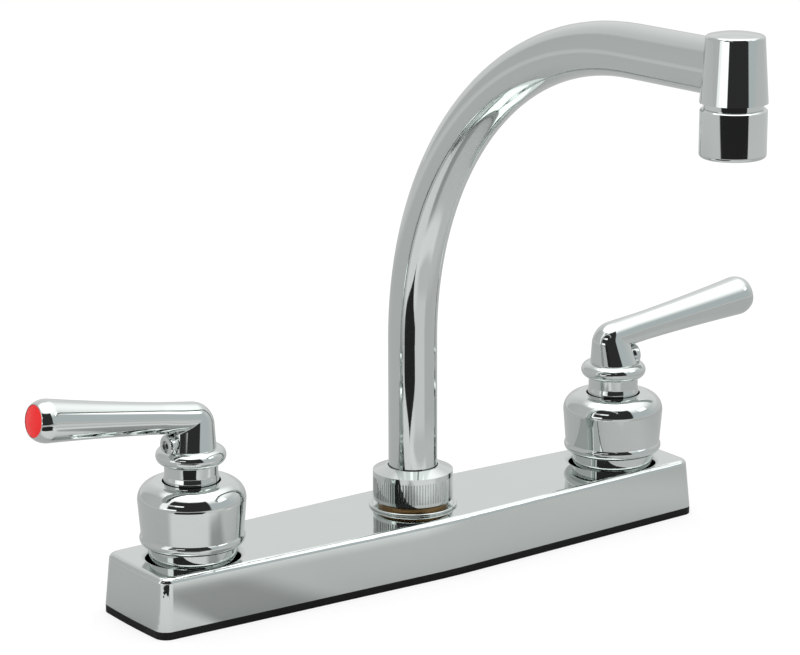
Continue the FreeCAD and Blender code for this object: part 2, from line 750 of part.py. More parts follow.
# Spout hub: brass foot and post, bored for the spout and for both crossover tubes.
spout_hub = new_body("spout_hub")
hub = [(zero, d.plate_thk), (hub_r, d.plate_thk), (hub_r, deck_top - d.deck_roof)]
hub += [(post_r, deck_top - d.deck_roof), (post_r, post_top), (hub_bore, post_top)]
hub += [(hub_bore, hub_floor), (zero, hub_floor)]
turn_up(spout_hub, "hub_turned", hub)
cross_hole = circles(spout_hub, "cross_hole", "YZ_Plane", [(d.cross_r + d.thread_fit, zero, cross_z)])
sink(spout_hub, "hub_cross_holes", cross_hole, hub_r * 3, both=True)

# Retaining ring on the post: holds the cover down.
ring("retaining_ring", post_r + d.thread_fit, flange_r, deck_top, deck_top + d.flange_thk)

# Coupling nut: straight knurl, cone and lip over the spout tailpiece.
coupling_nut = new_body("coupling_nut")
nut_bore = post_r + d.thread_fit
nut_eye = d.tube_r + d.nut_eye_gap
nut = [(nut_bore, nut_foot), (nut_r - d.nut_bevel, nut_foot), (nut_r, nut_foot + d.nut_bevel)]
nut += [(nut_r, nut_shoulder), (nut_top_r, nut_top), (nut_eye, nut_top)]
nut += [(nut_eye, nut_lip_z), (nut_bore, nut_lip_z)]
turn_up(coupling_nut, "nut_turned", nut)
rim = nut_r + d.knurl_over
tooth = [(nut_r - d.knurl_deep, zero), (rim, -d.knurl_half), (rim, d.knurl_half)]
tooth_sketch = outline(coupling_nut, "knurl_cut", "XY_Plane", tooth, None, (zero, zero, knurl_low))
knurl = sink(coupling_nut, "knurl_groove", tooth_sketch, knurl_high - knurl_low)
repeat(coupling_nut, "knurl_ring", knurl, d.knurl_count)


def valve_pieces(side, sign):
    """The fixed pieces of one side: valve, cartridge, bell, tube, lock nut and washer."""
    axis = hand * sign

    valve = new_body(f"{side}_valve_body")
    foot_top = d.plate_thk + d.foot_thk
    walls = [(d.inlet_r, -shank_drop), (shank_r - d.shank_bevel, -shank_drop)]
    relief_foot = -relief_z - d.relief_w
    walls += [(shank_r, d.shank_bevel - shank_drop), (shank_r, relief_foot)]
    walls += [(shank_r - d.relief, relief_foot), (shank_r - d.relief, -relief_z)]
    walls += [(shank_r, -relief_z), (shank_r, d.plate_thk), (foot_r, d.plate_thk)]
    walls += [(foot_r, foot_top), (valve_r, foot_top), (valve_r, valve_top)]
    walls += [(chamber_r, valve_top), (chamber_r, chamber_floor), (d.inlet_r, chamber_floor)]
    turn_up(valve, f"{side}_valve_turned", walls)
    port = [(d.cross_r + d.thread_fit, zero, cross_z)]
    port_sketch = circles(valve, f"{side}_valve_port_plan", "YZ_Plane", port)
    sink(valve, f"{side}_valve_port", port_sketch, valve_r * 2, sign < 0)
    put(valve, axis)

    tube = new_body(f"{side}_crossover_tube")
    near = hub_bore + d.cross_inset
    far = hand - chamber_r - d.cross_inset
    rings = [(d.cross_r,), (d.cross_r - d.cross_wall,)]
    start = near if sign > 0 else -far
    tube_sketch = circles(tube, f"{side}_tube_plan", "YZ_Plane", rings, (zero, zero, start))
    raise_up(tube, f"{side}_tube_pad", tube_sketch, far - near)
    put(tube, z=cross_z)

    washer_low = -d.washer_z - d.washer_thk
    washer = ring(f"{side}_lock_washer", shank_r + d.thread_fit, washer_r, washer_low, -d.washer_z)
    put(washer, axis)
    locknut = new_body(f"{side}_lock_nut")
    nut_low = washer_low - d.locknut_thk
    nut_plan = new_sketch(locknut, f"{side}_lock_nut_plan", "XY_Plane", (zero, zero, nut_low))
    draw_chain(nut_plan, hexagon(locknut_flats), {}, True)
    draw_circle(nut_plan, shank_r + d.thread_fit)
    raise_up(locknut, f"{side}_lock_nut_pad", nut_plan, d.locknut_thk)
    put(locknut, axis)

    sleeve_foot = chamber_floor + d.seal_thk
    seal = ring(f"{side}_seat_seal", d.inlet_r, seal_r, chamber_floor, sleeve_foot)
    put(seal, axis)

    sleeve = new_body(f"{side}_cartridge_sleeve")
    flange_top = sleeve_flange_z + d.sleeve_flange_thk
    flange_r = chamber_r - d.thread_fit
    bore = d.stem_r + d.run_fit
    tube_wall = [(disc_room_r, sleeve_foot), (sleeve_r, sleeve_foot), (sleeve_r, sleeve_flange_z)]
    tube_wall += [(flange_r, sleeve_flange_z), (flange_r, flange_top), (sleeve_neck_r, flange_top)]
    tube_wall += [(sleeve_neck_r, sleeve_top), (bore, sleeve_top), (bore, disc_room_top)]
    tube_wall += [(disc_room_r, disc_room_top)]
    turn_up(sleeve, f"{side}_sleeve_turned", tube_wall)
    low = window_z - d.window_high / 2
    high = window_z + d.window_high / 2
    wide = d.window_w / 2
    window = [(-wide, low), (wide, low), (wide, high), (-wide, high)]
    window_sketch = outline(sleeve, f"{side}_window_plan", "YZ_Plane", window)
    sink(sleeve, f"{side}_windows", window_sketch, sleeve_r * 3, both=True)
    put(sleeve, axis)

    bonnet = new_body(f"{side}_cartridge_bonnet")
    bonnet_bore = sleeve_neck_r + d.thread_fit
    bonnet_wall = [(bonnet_bore, flange_top), (flange_r, flange_top)]
    bonnet_wall += [(flange_r, valve_top), (bonnet_bore, valve_top)]
    turn_up(bonnet, f"{side}_bonnet_thread", bonnet_wall)
    head = new_sketch(bonnet, f"{side}_bonnet_plan", "XY_Plane", (zero, zero, valve_top))
    draw_chain(head, hexagon(bonnet_flats), {}, True)
    draw_circle(head, bonnet_bore)
    raise_up(bonnet, f"{side}_bonnet_head", head, d.bonnet_head)
    put(bonnet, axis)

    fixed = new_body(f"{side}_fixed_disc")
    plate = new_sketch(fixed, f"{side}_fixed_plan", "XY_Plane", (zero, zero, sleeve_foot))
    draw_circle(plate, disc_room_r - d.thread_fit)
    draw_circle(plate, d.port_r, d.port_off, zero)
    draw_circle(plate, d.port_r, -d.port_off, zero)
    raise_up(fixed, f"{side}_fixed_pad", plate, d.disc_thk)
    put(fixed, axis)

    bell = new_body(f"{side}_bell")
    low_in = bell_low_r - d.bell_wall
    shell = [(valve_r + d.thread_fit, bell_foot), (bell_skirt_r - d.bell_step, bell_foot)]
    shell += [(bell_skirt_r - d.bell_step, bell_step_z), (bell_skirt_r, bell_step_z)]
    shell += [(bell_skirt_r, bell_waist_z), (bead_foot_r, bell_waist_z)]
    shell += [(bell_low_r, bell_bead_top), (bell_r, bell_r_z), (bell_crown_r, bell_top)]
    shell += [(bell_eye_r, bell_top), (bell_eye_r, bell_top - d.bell_wall)]
    shell += [(bell_crown_r, bell_top - d.bell_wall), (bell_r - d.bell_wall, bell_r_z)]
    shell += [(low_in, bell_bead_top), (valve_r + d.thread_fit, bell_thread_top)]
    slim = d.bell_wall * cosine(size(45))
    mids = {5: (bell_bead_r, bell_bead_z), 7: (bell_mid_r, bell_mid_z)}
    mids[11] = (bell_mid_r - slim, bell_mid_z - slim)
    turn_up(bell, f"{side}_bell_turned", shell, mids)
    put(bell, axis)


def handle_pieces(side, sign, yaw):
    """The turning pieces of one side: handle, button, screw, stem, moving disc and stem ring."""
    axis = hand * sign

    handle = new_body(f"{side}_handle")
    foot_r = d.neck_r + d.neck_flare
    turned = [(zero, neck_foot), (foot_r, neck_foot), (foot_r, neck_flare_z)]
    turned += [(d.neck_r, neck_plain_z), (d.neck_r, ring_z - d.ring_half)]
    turned += [(column_r, ring_z + d.ring_half)]
    turned += [(column_r, column_top), (zero, column_top)]
    turn_up(handle, f"{side}_handle_turned", turned, {4: (ring_r, ring_z)})
    in_x = d.lever_in * cosine(d.lever_rise)
    in_z = lever_z + d.lever_in * sine(d.lever_rise)
    cuts = [("root", zero, column_top, None, column_r)]
    cuts += [("bend_a", d.bend_a_x, bend_a_z, d.bend_a_tilt, bend_a_r)]
    cuts += [("bend_b", d.bend_b_x, bend_b_z, d.bend_b_tilt, bend_b_r)]
    cuts += [("bend_c", d.bend_c_x, bend_c_z, d.bend_c_tilt, bend_c_r)]
    cuts += [("bend_d", d.bend_d_x, bend_d_z, d.bend_d_tilt, bend_d_r)]
    cuts += [("lever_in", in_x, in_z, lever_tilt, lever_in_r)]
    sections = []
    for name, out, high, tilt, radius in cuts:
        sections.append(circles(handle, f"{side}_{name}", "XY_Plane", [(radius,)], (out, zero, high), tilt))
    elbow = handle.newObject("PartDesign::AdditiveLoft", f"{side}_elbow")
    elbow.Profile = sections[0]
    elbow.Sections = sections[1:]
    seat_r = button_r + d.thread_fit
    seat_floor = lever_out - d.button_seat
    grip = [(d.lever_in, zero), (d.lever_in, lever_in_r), (lever_mid, lever_mid_r)]
    grip += [(lever_full, lever_full_r), (lever_out, lever_out_r), (lever_out, seat_r)]
    grip += [(seat_floor, seat_r), (seat_floor, zero)]
    grip_root = (zero, lever_z, zero)
    grip_sketch = new_sketch(handle, f"{side}_grip_plan", "XZ_Plane", grip_root, None, d.lever_rise)
    draw_chain(grip_sketch, grip, {3: (lever_round, lever_round_r)}, True)
    lever = handle.newObject("PartDesign::Revolution", f"{side}_lever")
    lever.Profile = grip_sketch
    lever.ReferenceAxis = (grip_sketch, ["H_Axis"])
    lever.Angle = 360
    boss_root = (zero, zero, boss_face - d.boss_len)
    boss = circles(handle, f"{side}_boss_plan", "YZ_Plane", [(d.boss_r, zero, boss_z)], boss_root)
    raise_up(handle, f"{side}_boss", boss, d.boss_len)
    socket_foot = (zero, zero, neck_foot)
    socket = circles(handle, f"{side}_socket_plan", "XY_Plane", [(tip_r + d.thread_fit,)], socket_foot)
    sink(handle, f"{side}_socket", socket, socket_top - neck_foot)
    hole = circles(handle, f"{side}_screw_plan", "YZ_Plane", [(d.screw_r + d.thread_fit, zero, boss_z)])
    sink(handle, f"{side}_screw_hole", hole, boss_face)
    put(handle, axis, yaw=yaw)

    button = new_body(f"{side}_index_button")
    dome = [(zero, zero), (button_r, zero), (button_r, d.button_rim)]
    dome += [(zero, d.button_rim + d.button_dome)]
    crest = d.button_rim + cap_half_height(button_r, d.button_dome)
    turn_up(button, f"{side}_button_turned", dome, {2: (button_r / 2, crest)})
    out = seat_floor * cosine(d.lever_rise)
    high = lever_z + seat_floor * sine(d.lever_rise)
    put(button, axis + out * cosine(yaw), out * sine(yaw), high, yaw, lever_tilt)

    screw = new_body(f"{side}_set_screw")
    head_x = boss_face - d.screw_sink
    screw_root = (zero, zero, tip_flat)
    screw_plan = circles(screw, f"{side}_set_screw_plan", "YZ_Plane", [(d.screw_r,)], screw_root)
    raise_up(screw, f"{side}_set_screw_pad", screw_plan, head_x - tip_flat)
    key = outline(screw, f"{side}_key_plan", "YZ_Plane", hexagon(d.key_flats), None, (zero, zero, head_x))
    sink(screw, f"{side}_key", key, d.key_deep, False)
    put(screw, axis, zero, boss_z, yaw)

    disc_low = chamber_floor + d.seal_thk + d.disc_thk + d.float_gap
    disc_top = disc_low + d.disc_thk
    disc = new_body(f"{side}_moving_disc")
    disc_plan = new_sketch(disc, f"{side}_moving_plan", "XY_Plane", (zero, zero, disc_low))
    draw_circle(disc_plan, d.disc_r)
    draw_circle(disc_plan, d.port_r, zero, d.port_off)
    draw_circle(disc_plan, d.port_r, zero, -d.port_off)
    raise_up(disc, f"{side}_moving_pad", disc_plan, d.disc_thk)
    put(disc, axis)

    stem = new_body(f"{side}_stem")
    head_top = disc_top + d.stem_head
    low = ring_seat_z - d.ring_seat_w / 2
    high = ring_seat_z + d.ring_seat_w / 2
    rod = [(zero, disc_top), (d.disc_r, disc_top), (d.disc_r, head_top), (d.stem_r, head_top)]
    rod += [(d.stem_r, low), (ring_seat_r, low), (ring_seat_r, high), (d.stem_r, high)]
    rod += [(d.stem_r, stem_step)]
    rod += [(tip_r, stem_step), (tip_r, tip_top), (zero, tip_top)]
    turn_up(stem, f"{side}_stem_turned", rod)
    past = tip_r * 2
    flat = [(tip_flat, -past), (past, -past), (past, past), (tip_flat, past)]
    flat_foot = (zero, zero, tip_flat_z)
    flat_sketch = outline(stem, f"{side}_stem_flat_plan", "XY_Plane", flat, None, flat_foot)
    sink(stem, f"{side}_stem_flat", flat_sketch, tip_top - tip_flat_z)
    put(stem, axis, yaw=yaw)

    seal = o_ring(f"{side}_stem_o_ring", ring_seat_r, d.stem_r + d.ring_lip, ring_seat_z)
    put(seal, axis, zero, ring_seat_z)


for side_name, side_sign, side_yaw in (("hot", -1, size(180)), ("cold", 1, -d.cold_turn)):
    valve_pieces(side_name, side_sign)
    handle_pieces(side_name, side_sign, side_yaw)

# Spout tube: straight riser, one quarter arc and a level run, coped onto the spout end.
spout_tube = new_body("spout_tube")
path = new_sketch(spout_tube, "tube_path", "YZ_Plane")
corner = d.arch_r * cosine(size(45))
path_points = [(zero, tube_foot), (zero, riser_top), (-d.arch_r, run_z), (-outlet_y, run_z)]
draw_chain(path, path_points, {1: (corner - d.arch_r, riser_top + corner)}, False)
wall_rings = [(d.tube_r,), (d.tube_r - d.tube_wall,)]
tube_section = circles(spout_tube, "tube_section", "XY_Plane", wall_rings, (zero, zero, tube_foot))
doc.recompute()
bent = spout_tube.newObject("PartDesign::AdditivePipe", "bent_tube")
bent.Profile = tube_section
bent.Spine = path
end_cone = (end_low_r - end_high_r) / (end_high_z - end_low_z)
cope_r = end_high_r - end_cone * d.tube_r
cope = [(zero, end_low_z), (end_low_r, end_low_z), (cope_r, end_high_z + d.tube_r)]
cope += [(zero, end_high_z + d.tube_r)]
turn_out(spout_tube, "tube_cope", cope, (-outlet_y, zero, zero), "YZ_Plane")

# Spout end: conical cap with a domed top, a water room and the aerator thread.
spout_end = new_body("spout_end")
socket_r = thread_r + d.thread_fit
cap = [(zero, end_cavity_top), (end_cavity_r, end_cavity_top), (end_cavity_r, thread_deep)]
cap += [(socket_r, thread_deep), (socket_r, end_low_z), (end_low_r, end_low_z)]
cap += [(end_high_r, end_high_z), (end_crown_r, end_crown_z), (zero, end_top)]
crown = end_crown_z + cap_half_height(end_crown_r, end_top - end_crown_z)
turn_up(spout_end, "cap_turned", cap, {6: (end_rim_r, end_rim_z), 7: (end_crown_r / 2, crown)})
port_plan = circles(spout_end, "cap_port_plan", "XZ_Plane", [(end_port_r, zero, run_z)])
sink(spout_end, "cap_port", port_plan, end_low_r * 2, False)
put(spout_end, zero, -outlet_y)

# Tailpiece: brass sleeve on the foot of the tube with two ring grooves and a collar.
tailpiece = new_body("spout_tailpiece")
tail_r = hub_bore - d.run_fit
collar_low = post_top + d.float_gap
collar_top = collar_low + d.tail_collar
half_seat = d.o_seat_w / 2
tail = [(d.tube_r, tube_foot), (tail_r, tube_foot), (tail_r, o_low_z - half_seat)]
tail += [(o_seat_r, o_low_z - half_seat), (o_seat_r, o_low_z + half_seat)]
tail += [(tail_r, o_low_z + half_seat)]
tail += [(tail_r, o_high_z - half_seat), (o_seat_r, o_high_z - half_seat)]
tail += [(o_seat_r, o_high_z + half_seat), (tail_r, o_high_z + half_seat), (tail_r, collar_low)]
tail += [(tail_collar_r, collar_low), (tail_collar_r, collar_top), (d.tube_r, collar_top)]
turn_up(tailpiece, "tailpiece_turned", tail)
low_ring = o_ring("spout_ring_low", o_seat_r, tail_r + d.o_lip, o_low_z)
high_ring = o_ring("spout_ring_high", o_seat_r, tail_r + d.o_lip, o_high_z)
spout_rings = doc.addObject("Part::Compound", "spout_o_rings")
spout_rings.Label = "spout_o_rings"
spout_rings.Links = [low_ring, high_ring]
bearing_r = d.tube_r + d.thread_fit
ring("spout_bearing_ring", bearing_r, tail_collar_r, collar_top, collar_top + d.bearing_thk)

# Aerator: shell, washer, diffuser and screen.
shell_body = new_body("aerator_shell")
lip_top = aer_low + d.aer_lip
shell_wall = [(aer_eye, aer_low), (aer_r - d.aer_round, aer_low)]
shell_wall += [(aer_r, aer_low + d.aer_round), (aer_r, aer_high - d.aer_edge)]
shell_wall += [(aer_r - d.aer_edge, aer_high), (thread_r, aer_high)]
shell_wall += [(thread_r, thread_top), (aer_neck_r, thread_top), (aer_neck_r, aer_high)]
shell_wall += [(aer_bore, aer_high - d.aer_edge * 4), (aer_bore, lip_top), (aer_eye, lip_top)]
quarter = d.aer_round * (size(1) - cosine(size(45)))
turn_up(shell_body, "shell_turned", shell_wall, {1: (aer_r - quarter, aer_low + quarter)})
put(shell_body, zero, -outlet_y)
washer_body = ring("aerator_washer", aer_neck_r, thread_r, thread_top, thread_deep)
put(washer_body, zero, -outlet_y)
insert_r = aer_bore - d.insert_room
screen = ring("aerator_screen", zero, insert_r, lip_top, lip_top + d.screen_thk)
on_lip = (zero, zero, lip_top)
screen_rows = [("a", screen_row_a, d.screen_count)]
screen_rows += [("b", screen_row_b, d.screen_count * 2)]
screen_rows += [("c", screen_row_c, d.screen_count * 3)]
for row_name, row_r, row_count in screen_rows:
    row_hole = [(d.screen_hole, row_r)]
    hole_sketch = circles(screen, f"screen_plan_{row_name}", "XY_Plane", row_hole, on_lip)
    screen_cut = sink(screen, f"screen_hole_{row_name}", hole_sketch, d.screen_thk)
    repeat(screen, f"screen_row_{row_name}", screen_cut, row_count)
put(screen, zero, -outlet_y)
diff_low = lip_top + d.screen_thk
diffuser = ring("aerator_diffuser", zero, insert_r, diff_low, diff_low + d.diff_thk)
diff_holes = [(d.diff_hole, diff_row)]
diff_sketch = circles(diffuser, "diffuser_plan", "XY_Plane", diff_holes, (zero, zero, diff_low))
diff_cut = sink(diffuser, "diffuser_hole", diff_sketch, d.diff_thk)
repeat(diffuser, "diffuser_row", diff_cut, d.diff_count)
put(diffuser, zero, -outlet_y)

doc.recompute()
pieces = [item for item in doc.Objects if item.TypeId == "PartDesign::Body"]
pieces += [item for item in doc.Objects if item.Label.endswith("_stem_o_ring")]
pieces.append(spout_rings)
os.makedirs("parts", exist_ok=True)
for item in doc.Objects:
    if "Invalid" in item.State or "Error" in item.State:
        raise RuntimeError(f"{item.Label} did not build: {item.State}")
for item in pieces:
    shape = item.Shape
    if shape.isNull() or not shape.isValid() or not shape.Solids:
        raise RuntimeError(f"{item.Label} has no sound shape")
    shape.exportStep(f"parts/{item.Label}.step")
    box = shape.BoundBox
    print(item.Label, len(shape.Solids), round(shape.Volume), box)
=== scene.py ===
import bpy
import json
import math
import numpy as np
from mathutils import Matrix, Vector


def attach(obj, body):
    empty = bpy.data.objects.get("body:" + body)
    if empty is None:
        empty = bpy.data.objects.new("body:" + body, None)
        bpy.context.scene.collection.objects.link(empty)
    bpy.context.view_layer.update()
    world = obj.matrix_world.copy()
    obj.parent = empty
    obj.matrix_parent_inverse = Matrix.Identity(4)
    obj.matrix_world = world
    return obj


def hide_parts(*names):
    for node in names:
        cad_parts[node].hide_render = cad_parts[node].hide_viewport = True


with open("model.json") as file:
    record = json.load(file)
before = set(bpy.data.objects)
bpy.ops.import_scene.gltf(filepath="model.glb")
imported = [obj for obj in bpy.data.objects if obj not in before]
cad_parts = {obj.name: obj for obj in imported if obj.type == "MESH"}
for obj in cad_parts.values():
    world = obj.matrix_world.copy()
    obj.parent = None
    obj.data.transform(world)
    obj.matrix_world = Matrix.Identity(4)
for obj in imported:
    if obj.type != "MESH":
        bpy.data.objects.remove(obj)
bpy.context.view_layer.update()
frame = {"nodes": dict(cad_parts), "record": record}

MM = 0.001

# Camera: place and lens found from the outlines in the photo, in metres and pixels.
CAMERA_PLACE = (-0.6504, -0.89037, 0.37662)
CAMERA_FORWARD = (0.568, 0.7848, -0.248)
CAMERA_ROLL = math.radians(-0.19)
CAMERA_CLIP = 0.01
FOCAL_PIXELS = 2945.22
IMAGE_WIDTH = 800
SENSOR_WIDTH = 36.0

# Directions: along the cover, square to it, upwards, level towards the camera and level to its right.
ALONG_X = (1.0, 0.0, 0.0)
ALONG_Y = (0.0, 1.0, 0.0)
UPWARDS = (0.0, 0.0, 1.0)
TO_CAMERA = (-0.5863, -0.8101, 0.0)
TO_RIGHT = (0.8101, -0.5863, 0.0)

# Below, a pair is a soft step (0 at its first value, 1 at its second), and three values are a span
# (low, high, softness of its edges). Ahead, side and rise are the parts towards the camera, to its
# right and upwards. A turn is the angle from the direction to the camera, in radians and to its right.
# Places on the floor are in metres, and a reach is the distance from the spout's axis.

# Floor sheet: half its width, its own tone, its glow and how much of the glow the eye sees.
FLOOR_HALF = 3.0
FLOOR_TONE = 0.88
FLOOR_GLOW = 1.1
FLOOR_GLOW_SHARE = 0.65

# Painted reflection, the floor's tone that only the metal sees: its plain tone and painted paler
# patches that show as pale reflections. The hot patch's turn and reach are taken from the hot handle's
# axis.
PAINTED_REFLECTION_TONE = 0.53
NEAR_FLOOR_TONE = 0.63
NEAR_FLOOR_TURN = (-0.8, 2.2, 0.15)
NEAR_FLOOR_REACH = (0.23, 0.16)
FAR_FLOOR_TONE = 0.68
FAR_FLOOR_REACH = (0.55, 1.1)
SPOUT_REFLECTION_TONE = 0.72
SPOUT_REFLECTION_TURN = (-0.35, 0.98, 0.1)
SPOUT_REFLECTION_REACH = (0.19, 0.45, 0.02)
HOT_REFLECTION_TONE = 0.82
HOT_REFLECTION_TURN = (-0.72, 0.68, 0.12)
HOT_REFLECTION_REACH = (0.23, 0.17)
FRONT_REFLECTION_TONE = 0.87
FRONT_REFLECTION_X = (-0.145, 0.06, 0.02)
FRONT_REFLECTION_Y = (-0.142, -0.105, 0.01)

# Painted shade in the floor's tone in the metal, close to the left end of the cover.
LEFT_SHADE_TONE = 0.38
LEFT_SHADE_X = (-0.135, -0.053, 0.012)
LEFT_SHADE_Y = (-0.1, -0.02, 0.018)

# Painted reflection: the painted dark patches of the floor in the metal. The near one is placed by the
# height at which an upright mirror shows it to a camera that stands so high and so far away.
PAINTED_DARK_TONE = 0.022
CAMERA_HIGH = 0.377
CAMERA_AWAY = 1.102
NEAR_DARK_TURN = -0.244
NEAR_DARK_HALF = 0.43
NEAR_DARK_HIGH = 0.079
NEAR_DARK_HIGH_HALF = 0.030
NEAR_DARK_TAPER = (0.051, 0.078)
NEAR_DARK_LEAST = 0.01
NEAR_DARK_EDGE = (1.12, 0.88)
FAR_DARK_AHEAD = (0.8, 0.86)
FAR_DARK_TURN = (-0.95, 0.78, 0.02)

# Room: even light, and the tones that the metal shows of its walls.
EVEN_LIGHT = 0.92
WALL_TONE = 0.60
WALL_RIGHT_COLOUR = (0.58, 0.615, 0.63, 1.0)
WALL_RIGHT_TURN = (0.0, 0.6)
BACK_AHEAD = (0.2, -0.9)
BACK_LOW_TONE = 0.70
BACK_HIGH_TONE = 0.86
BACK_RISE = (0.1, 0.32)
BACK_LEFT_TONE = 0.76
BACK_LEFT_SIDE = (-0.1, -0.6)
BACK_FAR_LEFT_TONE = 0.55
BACK_FAR_LEFT_SIDE = (-0.62, -0.74)
LEFT_STRIP_TONE = 1.3
LEFT_STRIP_TURN = (-1.15, -0.86, 0.04)

# Room: ceiling and window, and the dark gap behind the camera with its panels.
CEILING_TONE = 1.6
CEILING_RISE = (0.44, 0.86)
CEILING_SIDE = (-0.15, 0.3)
OVERHEAD_RISE = (0.7, 0.92)
WINDOW_TONE = 2.0
WINDOW_TURN = (1.2, 1.65, 0.04)
WINDOW_RISE = (0.5, 0.68, 0.03)
GAP_TONE = 0.035
GAP_TURN = (-0.86, 0.77, 0.03)
GAP_RISE = (-0.5, 0.8, 0.03)
SIDE_PANEL_TONE = 0.75
SIDE_PANEL_TURN = (-0.9, -0.6, 0.02)
BRIGHT_PANEL_TONE = 1.6
HIGH_PANEL_TURN = (-0.6, -0.24, 0.02)
HIGH_PANEL_RISE = (0.40, 0.50, 0.012)
LOW_PANEL_TURN = (-0.98, -0.5, 0.02)
LOW_PANEL_RISE = (-0.1, 0.1, 0.02)

# Lamp above the object: height and width in metres, power in watts.
CEILING_BOX_HIGH = 1.6
CEILING_BOX_WIDE = 1.6
CEILING_BOX_POWER = 6.0

# Rings of a round surface: points round each ring, steps in an arc, guard beside an arc (mm).
AROUND = 96
ARC_STEPS = 8
GUARD = 0.04

# Handle sizes in millimetres, as in the frame; the lever lies along local +X.
HANDLE_AXIS = 101.6
HOT_YAW = 180.0
COLD_YAW = -6.2
STEM_SOCKET_R = 4.45
STEM_SOCKET_TOP = 71.0
STEM_SOCKET_EDGE_R = 0.3
NECK_FOOT = 49.2
NECK_FOOT_R = 10.4
NECK_FOOT_EDGE_R = 0.4
NECK_FLARE_Z = 52.6
NECK_FLARE_BEND_R = 3.0
NECK_R = 10.05
NECK_PLAIN_Z = 54.4
RING_LOW = 58.4
RING_Z = 61.4
RING_R = 13.15
RING_TOP = 64.4
COLUMN_R = 9.5
LEVER_Z = 75.6
LEVER_RISE = math.radians(8.6)
ELBOW_R = 9.0
ELBOW_SHIFT = -0.9
ELBOW_HALF = 8.3
ELBOW_SIDE = 6.3
CREASE_R = 0.3
LEVER_ROOT = 14.0
LEVER_ROOT_R = 5.95
LEVER_SLOPE = 0.02242
LEVER_FLARE = 0.000469
LEVER_BLEND = 13.0
LEVER_EVEN = 30.0
LEVER_FULL = 60.4
LEVER_FULL_R = 8.0
LEVER_ROUND = 64.2
LEVER_ROUND_R = 7.3
LEVER_OUT = 65.99
LEVER_OUT_R = 6.14
BUTTON_SEAT_R = 5.95
BUTTON_SEAT = 64.2
BOSS_Z = 66.4
BOSS_R = 4.3
BOSS_ROOT = 4.5
BOSS_FACE = 11.0
BOSS_EDGE_R = 1.1
SCREW_HOLE_R = 2.05
SCREW_HOLE_FLOOR = 6.0
SCREW_HOLE_EDGE_R = 0.3

# Rings along the handle: counts, the column's rings as shares of its height, and how closely the
# rings at the root of the lever start.
RING_STEPS = 32
COLUMN_SHARES = (0.004, 0.02, 0.2, 0.4, 0.6, 0.8, 0.95)
ELBOW_STEPS = 14
ROOT_STEPS = 32
ROOT_START = 0.4
SHAFT_STEPS = 23
LEVER_END_STEPS = 16

# Retaining ring sizes in millimetres, as in the frame.
FLANGE_HOLE_R = 13.65
FLANGE_HOLE_EDGE_R = 0.1
FLANGE_R = 17.3
FLANGE_LOW_EDGE_R = 0.3
FLANGE_TOP_EDGE_R = 0.45
FLANGE_BEAD_R = 16.25
FLANGE_BEAD_EDGE_R = 0.3
FLANGE_PLATE_R = 15.7
FLANGE_LOW = 23.0
FLANGE_PLATE_MIDDLE = 23.25
FLANGE_PLATE_TOP = 23.5
FLANGE_TOP = 24.0


def ring_angles():
    """Even angles round one ring."""
    return np.linspace(0.0, 2.0 * np.pi, AROUND, endpoint=False)


def unit(vectors):
    """Each vector over its own length."""
    return vectors / np.linalg.norm(vectors, axis=1, keepdims=True)


def corner_arc(corner, back, ahead, radius, steps):
    """Arcs that round off corners, each tangent to the runs along unit vectors back and ahead.

    arc = centre + (first sin((1 - t) w) + last sin(t w)) / sin(w), with w the angle between the spokes.
    Gives what each arc cuts off its runs, and the arcs as (steps + 1, corners, axes).
    """
    half = np.arccos(np.sum(back * ahead, axis=1, keepdims=True)) / 2.0
    cut = radius / np.tan(half)
    start = corner + back * cut
    end = corner + ahead * cut
    centre = corner + unit(back + ahead) * radius / np.sin(half)
    sweep = np.pi - 2.0 * half
    share = np.linspace(0.0, 1.0, steps + 1)[:, None, None]
    first = (start - centre) * np.sin((1.0 - share) * sweep)
    last = (end - centre) * np.sin(share * sweep)
    return cut, centre + (first + last) / np.sin(sweep)


def soft_outline(corners):
    """Open outline through corners (x, y, radius), each inner corner rounded by an arc of its radius.

    A guard point on each side of the arc keeps the straight runs evenly shaded.
    """
    corners = np.array(corners, float)
    points = corners[:, :2]
    corner = points[1:-1]
    back = unit(points[:-2] - corner)
    ahead = unit(points[2:] - corner)
    _, arcs = corner_arc(corner, back, ahead, corners[1:-1, 2:], ARC_STEPS)
    inner = np.concatenate([arcs[:1] + back * GUARD, arcs, arcs[-1:] + ahead * GUARD])
    inner = inner.transpose(1, 0, 2).reshape(-1, 2)
    return np.concatenate([points[:1], inner, points[-1:]])


def arc_through(first, middle, last, steps):
    """Arc through three points: centre from two equal-distance lines, then even steps of angle."""
    first, middle, last = (np.array(point, float) for point in (first, middle, last))
    sides = 2.0 * np.array([middle - first, last - first])
    reach = np.array([middle @ middle - first @ first, last @ last - first @ first])
    centre = np.linalg.solve(sides, reach)
    spokes = np.array([first, middle, last]) - centre
    angles = np.unwrap(np.arctan2(spokes[:, 1], spokes[:, 0]))
    turn = np.linspace(angles[0], angles[2], steps + 1)
    return centre + np.linalg.norm(spokes[0]) * np.stack([np.cos(turn), np.sin(turn)], axis=1)


def turned(outline):
    """Rings of an outline (distance, height) turned round the upright axis: (d cos a, d sin a, h)."""
    angle = ring_angles()[None, :]
    distance = outline[:, :1]
    height = np.broadcast_to(outline[:, 1:], (len(outline), AROUND))
    return np.stack([distance * np.cos(angle), distance * np.sin(angle), height], axis=-1)


